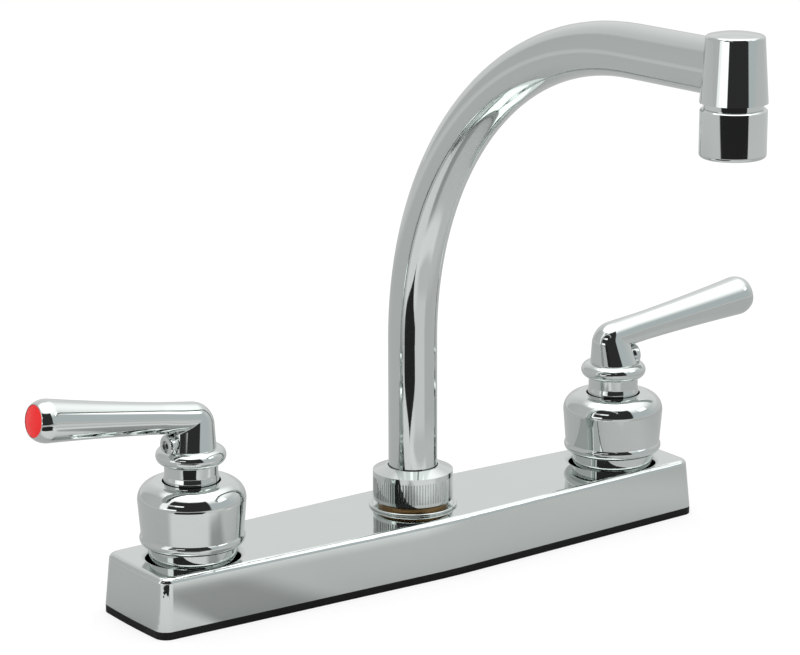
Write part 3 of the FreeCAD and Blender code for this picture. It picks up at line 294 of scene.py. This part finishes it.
def shell_faces(rows, offset, capped):
    """Quads between neighbouring rings.

    A capped shell has a flat cap on its first and last ring; in any other the last ring meets the first.
    """
    row = np.arange(rows - 1 if capped else rows)[:, None]
    ring = row * AROUND + offset
    following = (row + 1) % rows * AROUND + offset
    step = np.arange(AROUND)[None, :]
    after = (step + 1) % AROUND
    quads = np.stack([ring + step, ring + after, following + after, following + step], axis=-1)
    faces = quads.reshape(-1, 4).tolist()
    if capped:
        first_cap = np.arange(AROUND)[::-1] + offset
        last_cap = np.arange(AROUND) + offset + (rows - 1) * AROUND
        faces += [first_cap.tolist(), last_cap.tolist()]
    return faces


def skin_piece(name, shells, body, slot, node, capped=True):
    """Closed piece of one or more shells of rings, in metres, which stands for a node of the frame."""
    points = np.concatenate([shell.reshape(-1, 3) for shell in shells]) * MM
    faces = []
    offset = 0
    for shell in shells:
        faces += shell_faces(len(shell), offset, capped)
        offset += shell.shape[0] * shell.shape[1]
    mesh = bpy.data.meshes.new(name)
    mesh.from_pydata(points.tolist(), [], faces)
    round_faces = np.array([len(face) == 4 for face in faces])
    mesh.polygons.foreach_set("use_smooth", round_faces)
    mesh.materials.append(FINISHES[slot])
    mesh.update()
    piece = bpy.data.objects.new(name, mesh)
    bpy.context.scene.collection.objects.link(piece)
    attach(piece, body)
    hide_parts(node)


def lever_radius(along):
    """Lever radius: straight root, then a growing flare: r0 + slope s + flare s s past the root."""
    past = np.maximum(along - LEVER_ROOT, 0.0)
    return LEVER_ROOT_R + LEVER_SLOPE * past + LEVER_FLARE * past * past


def smooth_step(value):
    """0 to 1 with level ends: 3 v v - 2 v v v."""
    value = np.clip(value, 0.0, 1.0)
    return value * value * (3.0 - 2.0 * value)


def beside_lever(along, over, across):
    """Points by the lever's rising line: along it, over it and level across it.

    x = along cos r - over sin r, y = across, z = start + along sin r + over cos r, with r the rise.
    """
    x = along * np.cos(LEVER_RISE) - over * np.sin(LEVER_RISE)
    z = LEVER_Z + along * np.sin(LEVER_RISE) + over * np.cos(LEVER_RISE)
    return np.stack([x, across, z], axis=-1)


def neck_rings():
    """Turned foot of the handle: stem socket, flared neck and the bulging ring under the column."""
    foot = [(STEM_SOCKET_R, STEM_SOCKET_TOP, 0.0)]
    foot += [(STEM_SOCKET_R, NECK_FOOT, STEM_SOCKET_EDGE_R)]
    foot += [(NECK_FOOT_R, NECK_FOOT, NECK_FOOT_EDGE_R)]
    foot += [(NECK_FOOT_R, NECK_FLARE_Z, NECK_FLARE_BEND_R)]
    foot += [(NECK_R, NECK_PLAIN_Z, NECK_FLARE_BEND_R)]
    foot += [(NECK_R, RING_LOW - GUARD, 0.0)]
    bulge = arc_through((NECK_R, RING_LOW), (RING_R, RING_Z), (COLUMN_R, RING_TOP), RING_STEPS)
    return turned(np.concatenate([soft_outline(foot), bulge]))


def elbow_rings():
    """Column, elbow and root of the lever as rails, one for each angle a.

    A rail leaves the ring at (r cos a, r sin a), runs straight to its corner on the mitre plane, and
    goes on along the lever. An arc joins both runs: wide on the outside of the elbow (cos a < 0) and
    tight on the inside, so the inside keeps its mitre line.
    """
    outer = -np.cos(ring_angles())
    side = np.sin(ring_angles())
    foot = np.stack([-COLUMN_R * outer, COLUMN_R * side, np.full(AROUND, RING_TOP)], axis=-1)
    corner_x = ELBOW_SHIFT - ELBOW_HALF * outer
    meet = (corner_x + LEVER_ROOT_R * outer * np.sin(LEVER_RISE)) / np.cos(LEVER_RISE)
    corner = beside_lever(meet, LEVER_ROOT_R * outer, ELBOW_SIDE * side)
    lever_line = np.array([[np.cos(LEVER_RISE), 0.0, np.sin(LEVER_RISE)]])
    bend = CREASE_R + (ELBOW_R - CREASE_R) * np.maximum(outer, 0.0)[:, None]
    cut, arc = corner_arc(corner, unit(foot - corner), lever_line, bend, ELBOW_STEPS)
    column = foot + np.array(COLUMN_SHARES)[:, None, None] * (arc[0] - foot)

    spread = np.linspace(0.0, 1.0, ROOT_STEPS + 1)[1:, None]
    spread = spread * (ROOT_START + (1.0 - ROOT_START) * spread)
    leave = meet + cut[:, 0]
    along = leave + spread * (LEVER_EVEN - leave)
    radius = lever_radius(along)
    width = ELBOW_SIDE + (radius - ELBOW_SIDE) * smooth_step((along - leave) / LEVER_BLEND)
    return np.concatenate([column, arc, beside_lever(along, radius * outer, width * side)])


def lever_rings():
    """Flared lever, its rounded end and the button seat: circles square to the lever's rising line."""
    plain = np.linspace(LEVER_EVEN, LEVER_FULL, SHAFT_STEPS + 1)[1:-1]
    shaft = np.stack([plain, lever_radius(plain)], axis=1)
    full = (LEVER_FULL, LEVER_FULL_R)
    out = (LEVER_OUT, LEVER_OUT_R)
    rounded = arc_through(full, (LEVER_ROUND, LEVER_ROUND_R), out, LEVER_END_STEPS)
    seat = [(LEVER_OUT, BUTTON_SEAT_R), (LEVER_OUT - GUARD, BUTTON_SEAT_R), (BUTTON_SEAT, BUTTON_SEAT_R)]
    outline = np.concatenate([shaft, rounded, np.array(seat)])
    radius = outline[:, 1:]
    outer = -np.cos(ring_angles())[None, :]
    side = np.sin(ring_angles())[None, :]
    return beside_lever(outline[:, :1], radius * outer, radius * side)


def boss_rings():
    """Screw boss under the lever: a rounded stub turned round local +X, with the set screw's hole."""
    outline = [(BOSS_R, BOSS_ROOT, 0.0), (BOSS_R, BOSS_FACE, BOSS_EDGE_R)]
    outline += [(SCREW_HOLE_R, BOSS_FACE, SCREW_HOLE_EDGE_R), (SCREW_HOLE_R, SCREW_HOLE_FLOOR, 0.0)]
    stub = turned(soft_outline(outline))
    return np.stack([stub[..., 2], stub[..., 0], stub[..., 1] + BOSS_Z], axis=-1)


def stand(shell, yaw, axis):
    """Turn a shell about the upright line by yaw degrees and set it on its handle axis."""
    turn = math.radians(yaw)
    x = shell[..., 0] * math.cos(turn) - shell[..., 1] * math.sin(turn) + axis
    y = shell[..., 0] * math.sin(turn) + shell[..., 1] * math.cos(turn)
    return np.stack([x, y, shell[..., 2]], axis=-1)


def handle_skin(side, yaw, axis):
    """Handle of one side: neck, ring, column, elbow and lever in one skin, and the screw boss."""
    grip = np.concatenate([neck_rings(), elbow_rings(), lever_rings()])
    shells = [stand(grip, yaw, axis), stand(boss_rings(), yaw, axis)]
    skin_piece(f"{side}_handle_skin", shells, f"{side}_lever", "chrome", f"{side}_handle")


def retaining_ring_skin():
    """Ring under the coupling nut: a thin plate with a rounded bead on its rim, turned round the spout.

    The outline ends where it starts, so its last point is left off and the last ring meets the first.
    """
    outline = [(FLANGE_HOLE_R, FLANGE_PLATE_MIDDLE, 0.0)]
    outline += [(FLANGE_HOLE_R, FLANGE_LOW, FLANGE_HOLE_EDGE_R)]
    outline += [(FLANGE_R, FLANGE_LOW, FLANGE_LOW_EDGE_R)]
    outline += [(FLANGE_R, FLANGE_TOP, FLANGE_TOP_EDGE_R)]
    outline += [(FLANGE_BEAD_R, FLANGE_TOP, FLANGE_BEAD_EDGE_R)]
    outline += [(FLANGE_PLATE_R, FLANGE_PLATE_TOP, FLANGE_BEAD_EDGE_R)]
    outline += [(FLANGE_HOLE_R, FLANGE_PLATE_TOP, FLANGE_HOLE_EDGE_R)]
    outline += [(FLANGE_HOLE_R, FLANGE_PLATE_MIDDLE, 0.0)]
    loop = turned(soft_outline(outline)[:-1])
    skin_piece("retaining_ring_skin", [loop], "base", "chrome", "retaining_ring", capped=False)


class Shader:
    """Small helper that adds nodes to one material or world and joins them."""

    def __init__(self, tree):
        self.tree = tree
        self.tree.nodes.clear()

    def node(self, kind, **settings):
        made = self.tree.nodes.new(kind)
        for key, value in settings.items():
            setattr(made, key, value)
        return made

    def put(self, target, value):
        """Link an output to a socket, or write a plain value on it."""
        if isinstance(value, bpy.types.NodeSocket):
            self.tree.links.new(value, target)
        else:
            target.default_value = value

    def math(self, operation, first, second):
        made = self.node("ShaderNodeMath", operation=operation)
        self.put(made.inputs[0], first)
        self.put(made.inputs[1], second)
        return made.outputs[0]

    def square(self, value):
        return self.math("MULTIPLY", value, value)

    def dot(self, vector, direction):
        made = self.node("ShaderNodeVectorMath", operation="DOT_PRODUCT")
        self.put(made.inputs[0], vector)
        made.inputs[1].default_value = direction
        return made.outputs["Value"]

    def polar(self, ahead, side):
        """Reach and turn of a level place: sqrt(ahead ahead + side side) and the angle from ahead."""
        reach = self.math("POWER", self.math("ADD", self.square(ahead), self.square(side)), 0.5)
        return reach, self.math("ARCTAN2", side, ahead)

    def step(self, value, low, high):
        """Soft step from 0 at low to 1 at high."""
        made = self.node("ShaderNodeMapRange", interpolation_type="SMOOTHSTEP")
        self.put(made.inputs["Value"], value)
        made.inputs["From Min"].default_value = low
        made.inputs["From Max"].default_value = high
        return made.outputs["Result"]

    def span(self, value, low, high, soft):
        """1 between low and high with soft edges, 0 elsewhere."""
        rise = self.step(value, low - soft, low + soft)
        fall = self.step(value, high - soft, high + soft)
        return self.math("MULTIPLY", rise, self.math("SUBTRACT", 1.0, fall))

    def patch(self, first, first_span, second, second_span):
        """1 where two values both lie in their spans, 0 elsewhere."""
        return self.math("MULTIPLY", self.span(first, *first_span), self.span(second, *second_span))

    def mix(self, factor, first, second):
        """Colour that goes from first to second as factor goes from 0 to 1."""
        made = self.node("ShaderNodeMix", data_type="RGBA")
        self.put(made.inputs["Factor"], factor)
        self.put(made.inputs["A"], first)
        self.put(made.inputs["B"], second)
        return made.outputs["Result"]

    def noise(self, vector, scale, detail, grit=0.5):
        made = self.node("ShaderNodeTexNoise")
        self.put(made.inputs["Vector"], vector)
        made.inputs["Scale"].default_value = scale
        made.inputs["Detail"].default_value = detail
        made.inputs["Roughness"].default_value = grit
        return made.outputs["Fac"]

    def ramp(self, value, low, high):
        """Straight map of 0..1 onto low..high."""
        made = self.node("ShaderNodeMapRange")
        self.put(made.inputs["Value"], value)
        made.inputs["To Min"].default_value = low
        made.inputs["To Max"].default_value = high
        return made.outputs["Result"]

    def bump(self, height, strength, distance):
        made = self.node("ShaderNodeBump")
        made.inputs["Strength"].default_value = strength
        made.inputs["Distance"].default_value = distance
        self.put(made.inputs["Height"], height)
        return made.outputs["Normal"]


def grey(level):
    """Neutral colour of one level."""
    return (level, level, level, 1.0)


def new_finish(name):
    """Empty finish: its material, shader helper, surface node and object coordinates."""
    finish = bpy.data.materials.new(name)
    finish.use_nodes = True
    shader = Shader(finish.node_tree)
    surface = shader.node("ShaderNodeBsdfPrincipled")
    output = shader.node("ShaderNodeOutputMaterial")
    shader.tree.links.new(surface.outputs[0], output.inputs["Surface"])
    place = shader.node("ShaderNodeTexCoord").outputs["Object"]
    return finish, shader, surface, place


def mottle(shader, surface, pattern, deep, pale, rough):
    """Let one pattern of 0..1 carry the colour from deep to pale and the roughness over its range."""
    shader.put(surface.inputs["Base Color"], shader.mix(pattern, (*deep, 1.0), (*pale, 1.0)))
    shader.put(surface.inputs["Roughness"], shader.ramp(pattern, *rough))


def polished_chrome():
    """Bright plating: even mirror with a faint haze and a very slight waviness from buffing."""
    finish, shader, surface, place = new_finish("polished_chrome")
    haze = shader.noise(place, scale=60.0, detail=3.0)
    mottle(shader, surface, haze, (0.640, 0.676, 0.660), (0.660, 0.697, 0.680), rough=(0.025, 0.05))
    surface.inputs["Metallic"].default_value = 1.0
    wave = shader.noise(place, scale=90.0, detail=1.0)
    shader.put(surface.inputs["Normal"], shader.bump(wave, strength=0.01, distance=0.0002))
    return finish


def machined_brass():
    """Turned brass: fine level rings and a slightly uneven tone."""
    finish, shader, surface, place = new_finish("machined_brass")
    tone = shader.noise(place, scale=180.0, detail=4.0)
    mottle(shader, surface, tone, (0.17, 0.10, 0.042), (0.28, 0.175, 0.08), rough=(0.22, 0.38))
    surface.inputs["Metallic"].default_value = 1.0
    rings = shader.node("ShaderNodeTexWave", wave_type="BANDS", bands_direction="Z")
    shader.put(rings.inputs["Vector"], place)
    rings.inputs["Scale"].default_value = 900.0
    rings.inputs["Distortion"].default_value = 0.6
    turning = shader.bump(rings.outputs["Fac"], strength=0.12, distance=0.0001)
    shader.put(surface.inputs["Normal"], turning)
    return finish


def satin_black_plastic():
    """Moulded base plate: near black, with a fine grain in its gloss."""
    finish, shader, surface, place = new_finish("satin_black_plastic")
    tone = shader.noise(place, scale=35.0, detail=2.0)
    colour = shader.mix(tone, (0.004, 0.0045, 0.0045, 1.0), (0.007, 0.0078, 0.0078, 1.0))
    shader.put(surface.inputs["Base Color"], colour)
    grain = shader.noise(place, scale=1600.0, detail=3.0)
    shader.put(surface.inputs["Roughness"], shader.ramp(grain, 0.45, 0.62))
    surface.inputs["Specular IOR Level"].default_value = 0.18
    shader.put(surface.inputs["Normal"], shader.bump(grain, strength=0.25, distance=0.0001))
    return finish


def seal_rubber():
    """Black rubber of the seals with a dusty bloom."""
    finish, shader, surface, place = new_finish("seal_rubber")
    dust = shader.noise(place, scale=700.0, detail=4.0)
    mottle(shader, surface, dust, (0.015, 0.015, 0.016), (0.045, 0.045, 0.047), rough=(0.6, 0.85))
    return finish


def lapped_ceramic():
    """Off-white ceramic of the valve discs, lapped smooth."""
    finish, shader, surface, place = new_finish("lapped_ceramic")
    speck = shader.noise(place, scale=2200.0, detail=3.0)
    mottle(shader, surface, speck, (0.78, 0.77, 0.73), (0.9, 0.89, 0.86), rough=(0.12, 0.25))
    return finish


def plain_steel():
    """Zinc-bright steel of washers, screws and screen, with fine scratches."""
    finish, shader, surface, place = new_finish("plain_steel")
    scratch = shader.noise(place, scale=1300.0, detail=5.0, grit=0.7)
    mottle(shader, surface, scratch, (0.42, 0.43, 0.44), (0.62, 0.63, 0.64), rough=(0.25, 0.45))
    surface.inputs["Metallic"].default_value = 1.0
    shader.put(surface.inputs["Normal"], shader.bump(scratch, strength=0.1, distance=0.0001))
    return finish


def button_plastic(name, deep, bright):
    """Glossy coloured moulding with a faint flow mottle."""
    finish, shader, surface, place = new_finish(name)
    flow = shader.noise(place, scale=420.0, detail=2.0)
    mottle(shader, surface, flow, deep, bright, rough=(0.2, 0.32))
    surface.inputs["Specular IOR Level"].default_value = 0.3
    return finish


def pale_plastic():
    """Off-white moulding of the inner pieces with a faint cloud in it."""
    finish, shader, surface, place = new_finish("pale_plastic")
    cloud = shader.noise(place, scale=500.0, detail=3.0)
    mottle(shader, surface, cloud, (0.72, 0.72, 0.70), (0.84, 0.84, 0.82), rough=(0.35, 0.5))
    return finish


FINISHES = {
    "chrome": polished_chrome(),
    "brass": machined_brass(),
    "black_plastic": satin_black_plastic(),
    "rubber": seal_rubber(),
    "ceramic": lapped_ceramic(),
    "steel": plain_steel(),
    "red_button": button_plastic("red_button_plastic", (0.82, 0.012, 0.014), (0.92, 0.022, 0.022)),
    "blue_button": button_plastic("blue_button_plastic", (0.015, 0.06, 0.42), (0.03, 0.11, 0.6)),
    "white_plastic": pale_plastic(),
}


def dress_nodes():
    """Give every CAD node the finish of its slot."""
    for part in frame["record"]["subparts"]:
        node = frame["nodes"][part["node"]]
        node.data.materials.clear()
        node.data.materials.append(FINISHES[part["material_slot"]])


def near_dark(shader, reach, turn):
    """1 on the painted dark patch of the mirrored floor near the object, which tapers towards it.

    It covers x x x x + y y < 1, with x the turn from its middle over the tapered half width, and y the
    mirror height from its middle over half the range of heights.
    """
    whole = shader.math("ADD", reach, CAMERA_AWAY)
    high = shader.math("DIVIDE", shader.math("MULTIPLY", reach, CAMERA_HIGH), whole)
    taper = shader.math("MAXIMUM", shader.step(high, *NEAR_DARK_TAPER), NEAR_DARK_LEAST)
    half = shader.math("MULTIPLY", taper, NEAR_DARK_HALF)
    across = shader.math("DIVIDE", shader.math("SUBTRACT", turn, NEAR_DARK_TURN), half)
    up = shader.math("DIVIDE", shader.math("SUBTRACT", high, NEAR_DARK_HIGH), NEAR_DARK_HIGH_HALF)
    size = shader.math("ADD", shader.square(shader.square(across)), shader.square(up))
    return shader.step(size, *NEAR_DARK_EDGE)


def hot_painted_reflection(shader, ahead, side):
    """1 on the painted pale patch of the mirrored floor before the hot handle, between two turns about
    the handle's axis.
    """
    ahead = shader.math("ADD", ahead, HANDLE_AXIS * MM * TO_CAMERA[0])
    side = shader.math("ADD", side, HANDLE_AXIS * MM * TO_RIGHT[0])
    reach, turn = shader.polar(ahead, side)
    close = shader.step(reach, *HOT_REFLECTION_REACH)
    return shader.math("MULTIPLY", close, shader.span(turn, *HOT_REFLECTION_TURN))


def painted_floor_reflection(shader, place):
    """Painted reflection: the floor's tone in the metal, grey with painted paler patches, a painted
    shade and two painted dark patches.
    """
    x = shader.dot(place, ALONG_X)
    y = shader.dot(place, ALONG_Y)
    ahead = shader.dot(place, TO_CAMERA)
    side = shader.dot(place, TO_RIGHT)
    reach, turn = shader.polar(ahead, side)

    near = shader.step(reach, *NEAR_FLOOR_REACH)
    near = shader.math("MULTIPLY", near, shader.span(turn, *NEAR_FLOOR_TURN))
    far = shader.step(reach, *FAR_FLOOR_REACH)
    spout_painted_reflection = shader.patch(turn, SPOUT_REFLECTION_TURN, reach, SPOUT_REFLECTION_REACH)
    # Painted shade near the left end of the cover, seen only in the metal.
    left_shade = shader.patch(x, LEFT_SHADE_X, y, LEFT_SHADE_Y)
    front_painted_reflection = shader.patch(x, FRONT_REFLECTION_X, y, FRONT_REFLECTION_Y)
    # Painted dark patch far ahead, which the metal shows as a dark reflection.
    far_dark = shader.step(ahead, *FAR_DARK_AHEAD)
    far_dark = shader.math("MULTIPLY", far_dark, shader.span(turn, *FAR_DARK_TURN))
    dark = shader.math("MAXIMUM", near_dark(shader, reach, turn), far_dark)

    # Painted reflection: painted paler patches, a painted shade and painted dark patches over the plain
    # tone.
    tone = shader.mix(near, grey(PAINTED_REFLECTION_TONE), grey(NEAR_FLOOR_TONE))
    tone = shader.mix(far, tone, grey(FAR_FLOOR_TONE))
    tone = shader.mix(spout_painted_reflection, tone, grey(SPOUT_REFLECTION_TONE))
    tone = shader.mix(left_shade, tone, grey(LEFT_SHADE_TONE))
    tone = shader.mix(hot_painted_reflection(shader, ahead, side), tone, grey(HOT_REFLECTION_TONE))
    tone = shader.mix(front_painted_reflection, tone, grey(FRONT_REFLECTION_TONE))
    return shader.mix(dark, tone, grey(PAINTED_DARK_TONE))


def floor_paper():
    """Pale sweep: a matt sheet, white to the eye, with the soft shadow kept.

    In the metal it shows a painted reflection instead: a grey sheet with painted paler and darker
    patches.
    """
    finish = bpy.data.materials.new("floor_paper")
    finish.use_nodes = True
    shader = Shader(finish.node_tree)
    place = shader.node("ShaderNodeTexCoord").outputs["Object"]
    path = shader.node("ShaderNodeLightPath")
    # Glossy rays see the painted reflection tone; every other ray sees the floor's own tone.
    tone = shader.mix(path.outputs["Is Glossy Ray"], grey(FLOOR_TONE), painted_floor_reflection(shader, place))
    sheet = shader.node("ShaderNodeBsdfDiffuse")
    shader.put(sheet.inputs["Color"], tone)
    glow = shader.node("ShaderNodeEmission")
    glow.inputs["Color"].default_value = grey(1.0)
    glow.inputs["Strength"].default_value = FLOOR_GLOW
    paper = shader.node("ShaderNodeMixShader")
    seen = shader.math("MAXIMUM", path.outputs["Is Camera Ray"], path.outputs["Is Transmission Ray"])
    shader.put(paper.inputs[0], shader.math("MULTIPLY", seen, FLOOR_GLOW_SHARE))
    shader.tree.links.new(sheet.outputs[0], paper.inputs[1])
    shader.tree.links.new(glow.outputs[0], paper.inputs[2])
    output = shader.node("ShaderNodeOutputMaterial")
    shader.tree.links.new(paper.outputs[0], output.inputs["Surface"])
    return finish


def studio_floor():
    """Square sheet under the object, at the height of the counter."""
    half = FLOOR_HALF
    corners = [(-half, -half, 0.0), (half, -half, 0.0), (half, half, 0.0), (-half, half, 0.0)]
    mesh = bpy.data.meshes.new("floor")
    mesh.from_pydata(corners, [], [(0, 1, 2, 3)])
    mesh.materials.append(floor_paper())
    floor = bpy.data.objects.new("floor", mesh)
    bpy.context.scene.collection.objects.link(floor)


def room_walls(shader, ahead, side, rise, turn):
    """Walls: grey in front, cooler on the right, a bright strip on the left and four tones behind."""
    front = shader.mix(shader.step(turn, *WALL_RIGHT_TURN), grey(WALL_TONE), WALL_RIGHT_COLOUR)
    back = shader.mix(shader.step(rise, *BACK_RISE), grey(BACK_LOW_TONE), grey(BACK_HIGH_TONE))
    back = shader.mix(shader.step(side, *BACK_LEFT_SIDE), back, grey(BACK_LEFT_TONE))
    back = shader.mix(shader.step(side, *BACK_FAR_LEFT_SIDE), back, grey(BACK_FAR_LEFT_TONE))
    walls = shader.mix(shader.step(ahead, *BACK_AHEAD), front, back)
    return shader.mix(shader.span(turn, *LEFT_STRIP_TURN), walls, grey(LEFT_STRIP_TONE))


def mirrored_room(shader, ray):
    """Colour of the room in the metal, by direction.

    Walls with a bright ceiling and a window high on the right; behind the camera a dark gap, and on the
    left of the gap one grey and two bright panels.
    """
    ahead = shader.dot(ray, TO_CAMERA)
    side = shader.dot(ray, TO_RIGHT)
    rise = shader.dot(ray, UPWARDS)
    turn = shader.math("ARCTAN2", side, ahead)

    ceiling = shader.math("MULTIPLY", shader.step(rise, *CEILING_RISE), shader.step(side, *CEILING_SIDE))
    ceiling = shader.math("MAXIMUM", ceiling, shader.step(rise, *OVERHEAD_RISE))
    window = shader.patch(turn, WINDOW_TURN, rise, WINDOW_RISE)
    gap = shader.patch(turn, GAP_TURN, rise, GAP_RISE)
    side_panel = shader.patch(turn, SIDE_PANEL_TURN, rise, HIGH_PANEL_RISE)
    high_panel = shader.patch(turn, HIGH_PANEL_TURN, rise, HIGH_PANEL_RISE)
    low_panel = shader.patch(turn, LOW_PANEL_TURN, rise, LOW_PANEL_RISE)

    room = room_walls(shader, ahead, side, rise, turn)
    room = shader.mix(ceiling, room, grey(CEILING_TONE))
    room = shader.mix(window, room, grey(WINDOW_TONE))
    room = shader.mix(gap, room, grey(GAP_TONE))
    room = shader.mix(side_panel, room, grey(SIDE_PANEL_TONE))
    return shader.mix(shader.math("MAXIMUM", low_panel, high_panel), room, grey(BRIGHT_PANEL_TONE))


def studio_world():
    """White room: even light on everything, white to the eye, and the mirrored room in the metal."""
    world = bpy.data.worlds.new("studio")
    bpy.context.scene.world = world
    world.use_nodes = True
    shader = Shader(world.node_tree)
    ray = shader.node("ShaderNodeTexCoord").outputs["Generated"]
    path = shader.node("ShaderNodeLightPath")
    seen = shader.math("MAXIMUM", path.outputs["Is Camera Ray"], path.outputs["Is Transmission Ray"])
    colour = shader.mix(path.outputs["Is Glossy Ray"], grey(EVEN_LIGHT), mirrored_room(shader, ray))
    colour = shader.mix(seen, colour, grey(1.0))
    light = shader.node("ShaderNodeBackground")
    shader.put(light.inputs["Color"], colour)
    output = shader.node("ShaderNodeOutputWorld")
    shader.tree.links.new(light.outputs[0], output.inputs["Surface"])


def ceiling_box():
    """Square soft lamp above the object, which shines straight down."""
    lamp = bpy.data.lights.new("ceiling_box", "AREA")
    lamp.shape = "SQUARE"
    lamp.size = CEILING_BOX_WIDE
    lamp.energy = CEILING_BOX_POWER
    box = bpy.data.objects.new("ceiling_box", lamp)
    box.location = (0.0, 0.0, CEILING_BOX_HIGH)
    bpy.context.scene.collection.objects.link(box)


def photo_camera():
    """Camera of the photo: its place, aim, roll and lens."""
    lens = bpy.data.cameras.new("photo_camera")
    lens.sensor_width = SENSOR_WIDTH
    lens.sensor_fit = "HORIZONTAL"
    lens.lens = FOCAL_PIXELS * SENSOR_WIDTH / IMAGE_WIDTH
    lens.clip_start = CAMERA_CLIP
    camera = bpy.data.objects.new("photo_camera", lens)
    turn = Vector(CAMERA_FORWARD).to_track_quat("-Z", "Y").to_matrix().to_4x4()
    camera.matrix_world = Matrix.Translation(CAMERA_PLACE) @ turn @ Matrix.Rotation(CAMERA_ROLL, 4, "Z")
    bpy.context.scene.collection.objects.link(camera)
    bpy.context.scene.camera = camera


bpy.context.scene.view_settings.view_transform = "Standard"
dress_nodes()
handle_skin("hot", HOT_YAW, -HANDLE_AXIS)
handle_skin("cold", COLD_YAW, HANDLE_AXIS)
retaining_ring_skin()
studio_floor()
studio_world()
ceiling_box()
photo_camera()
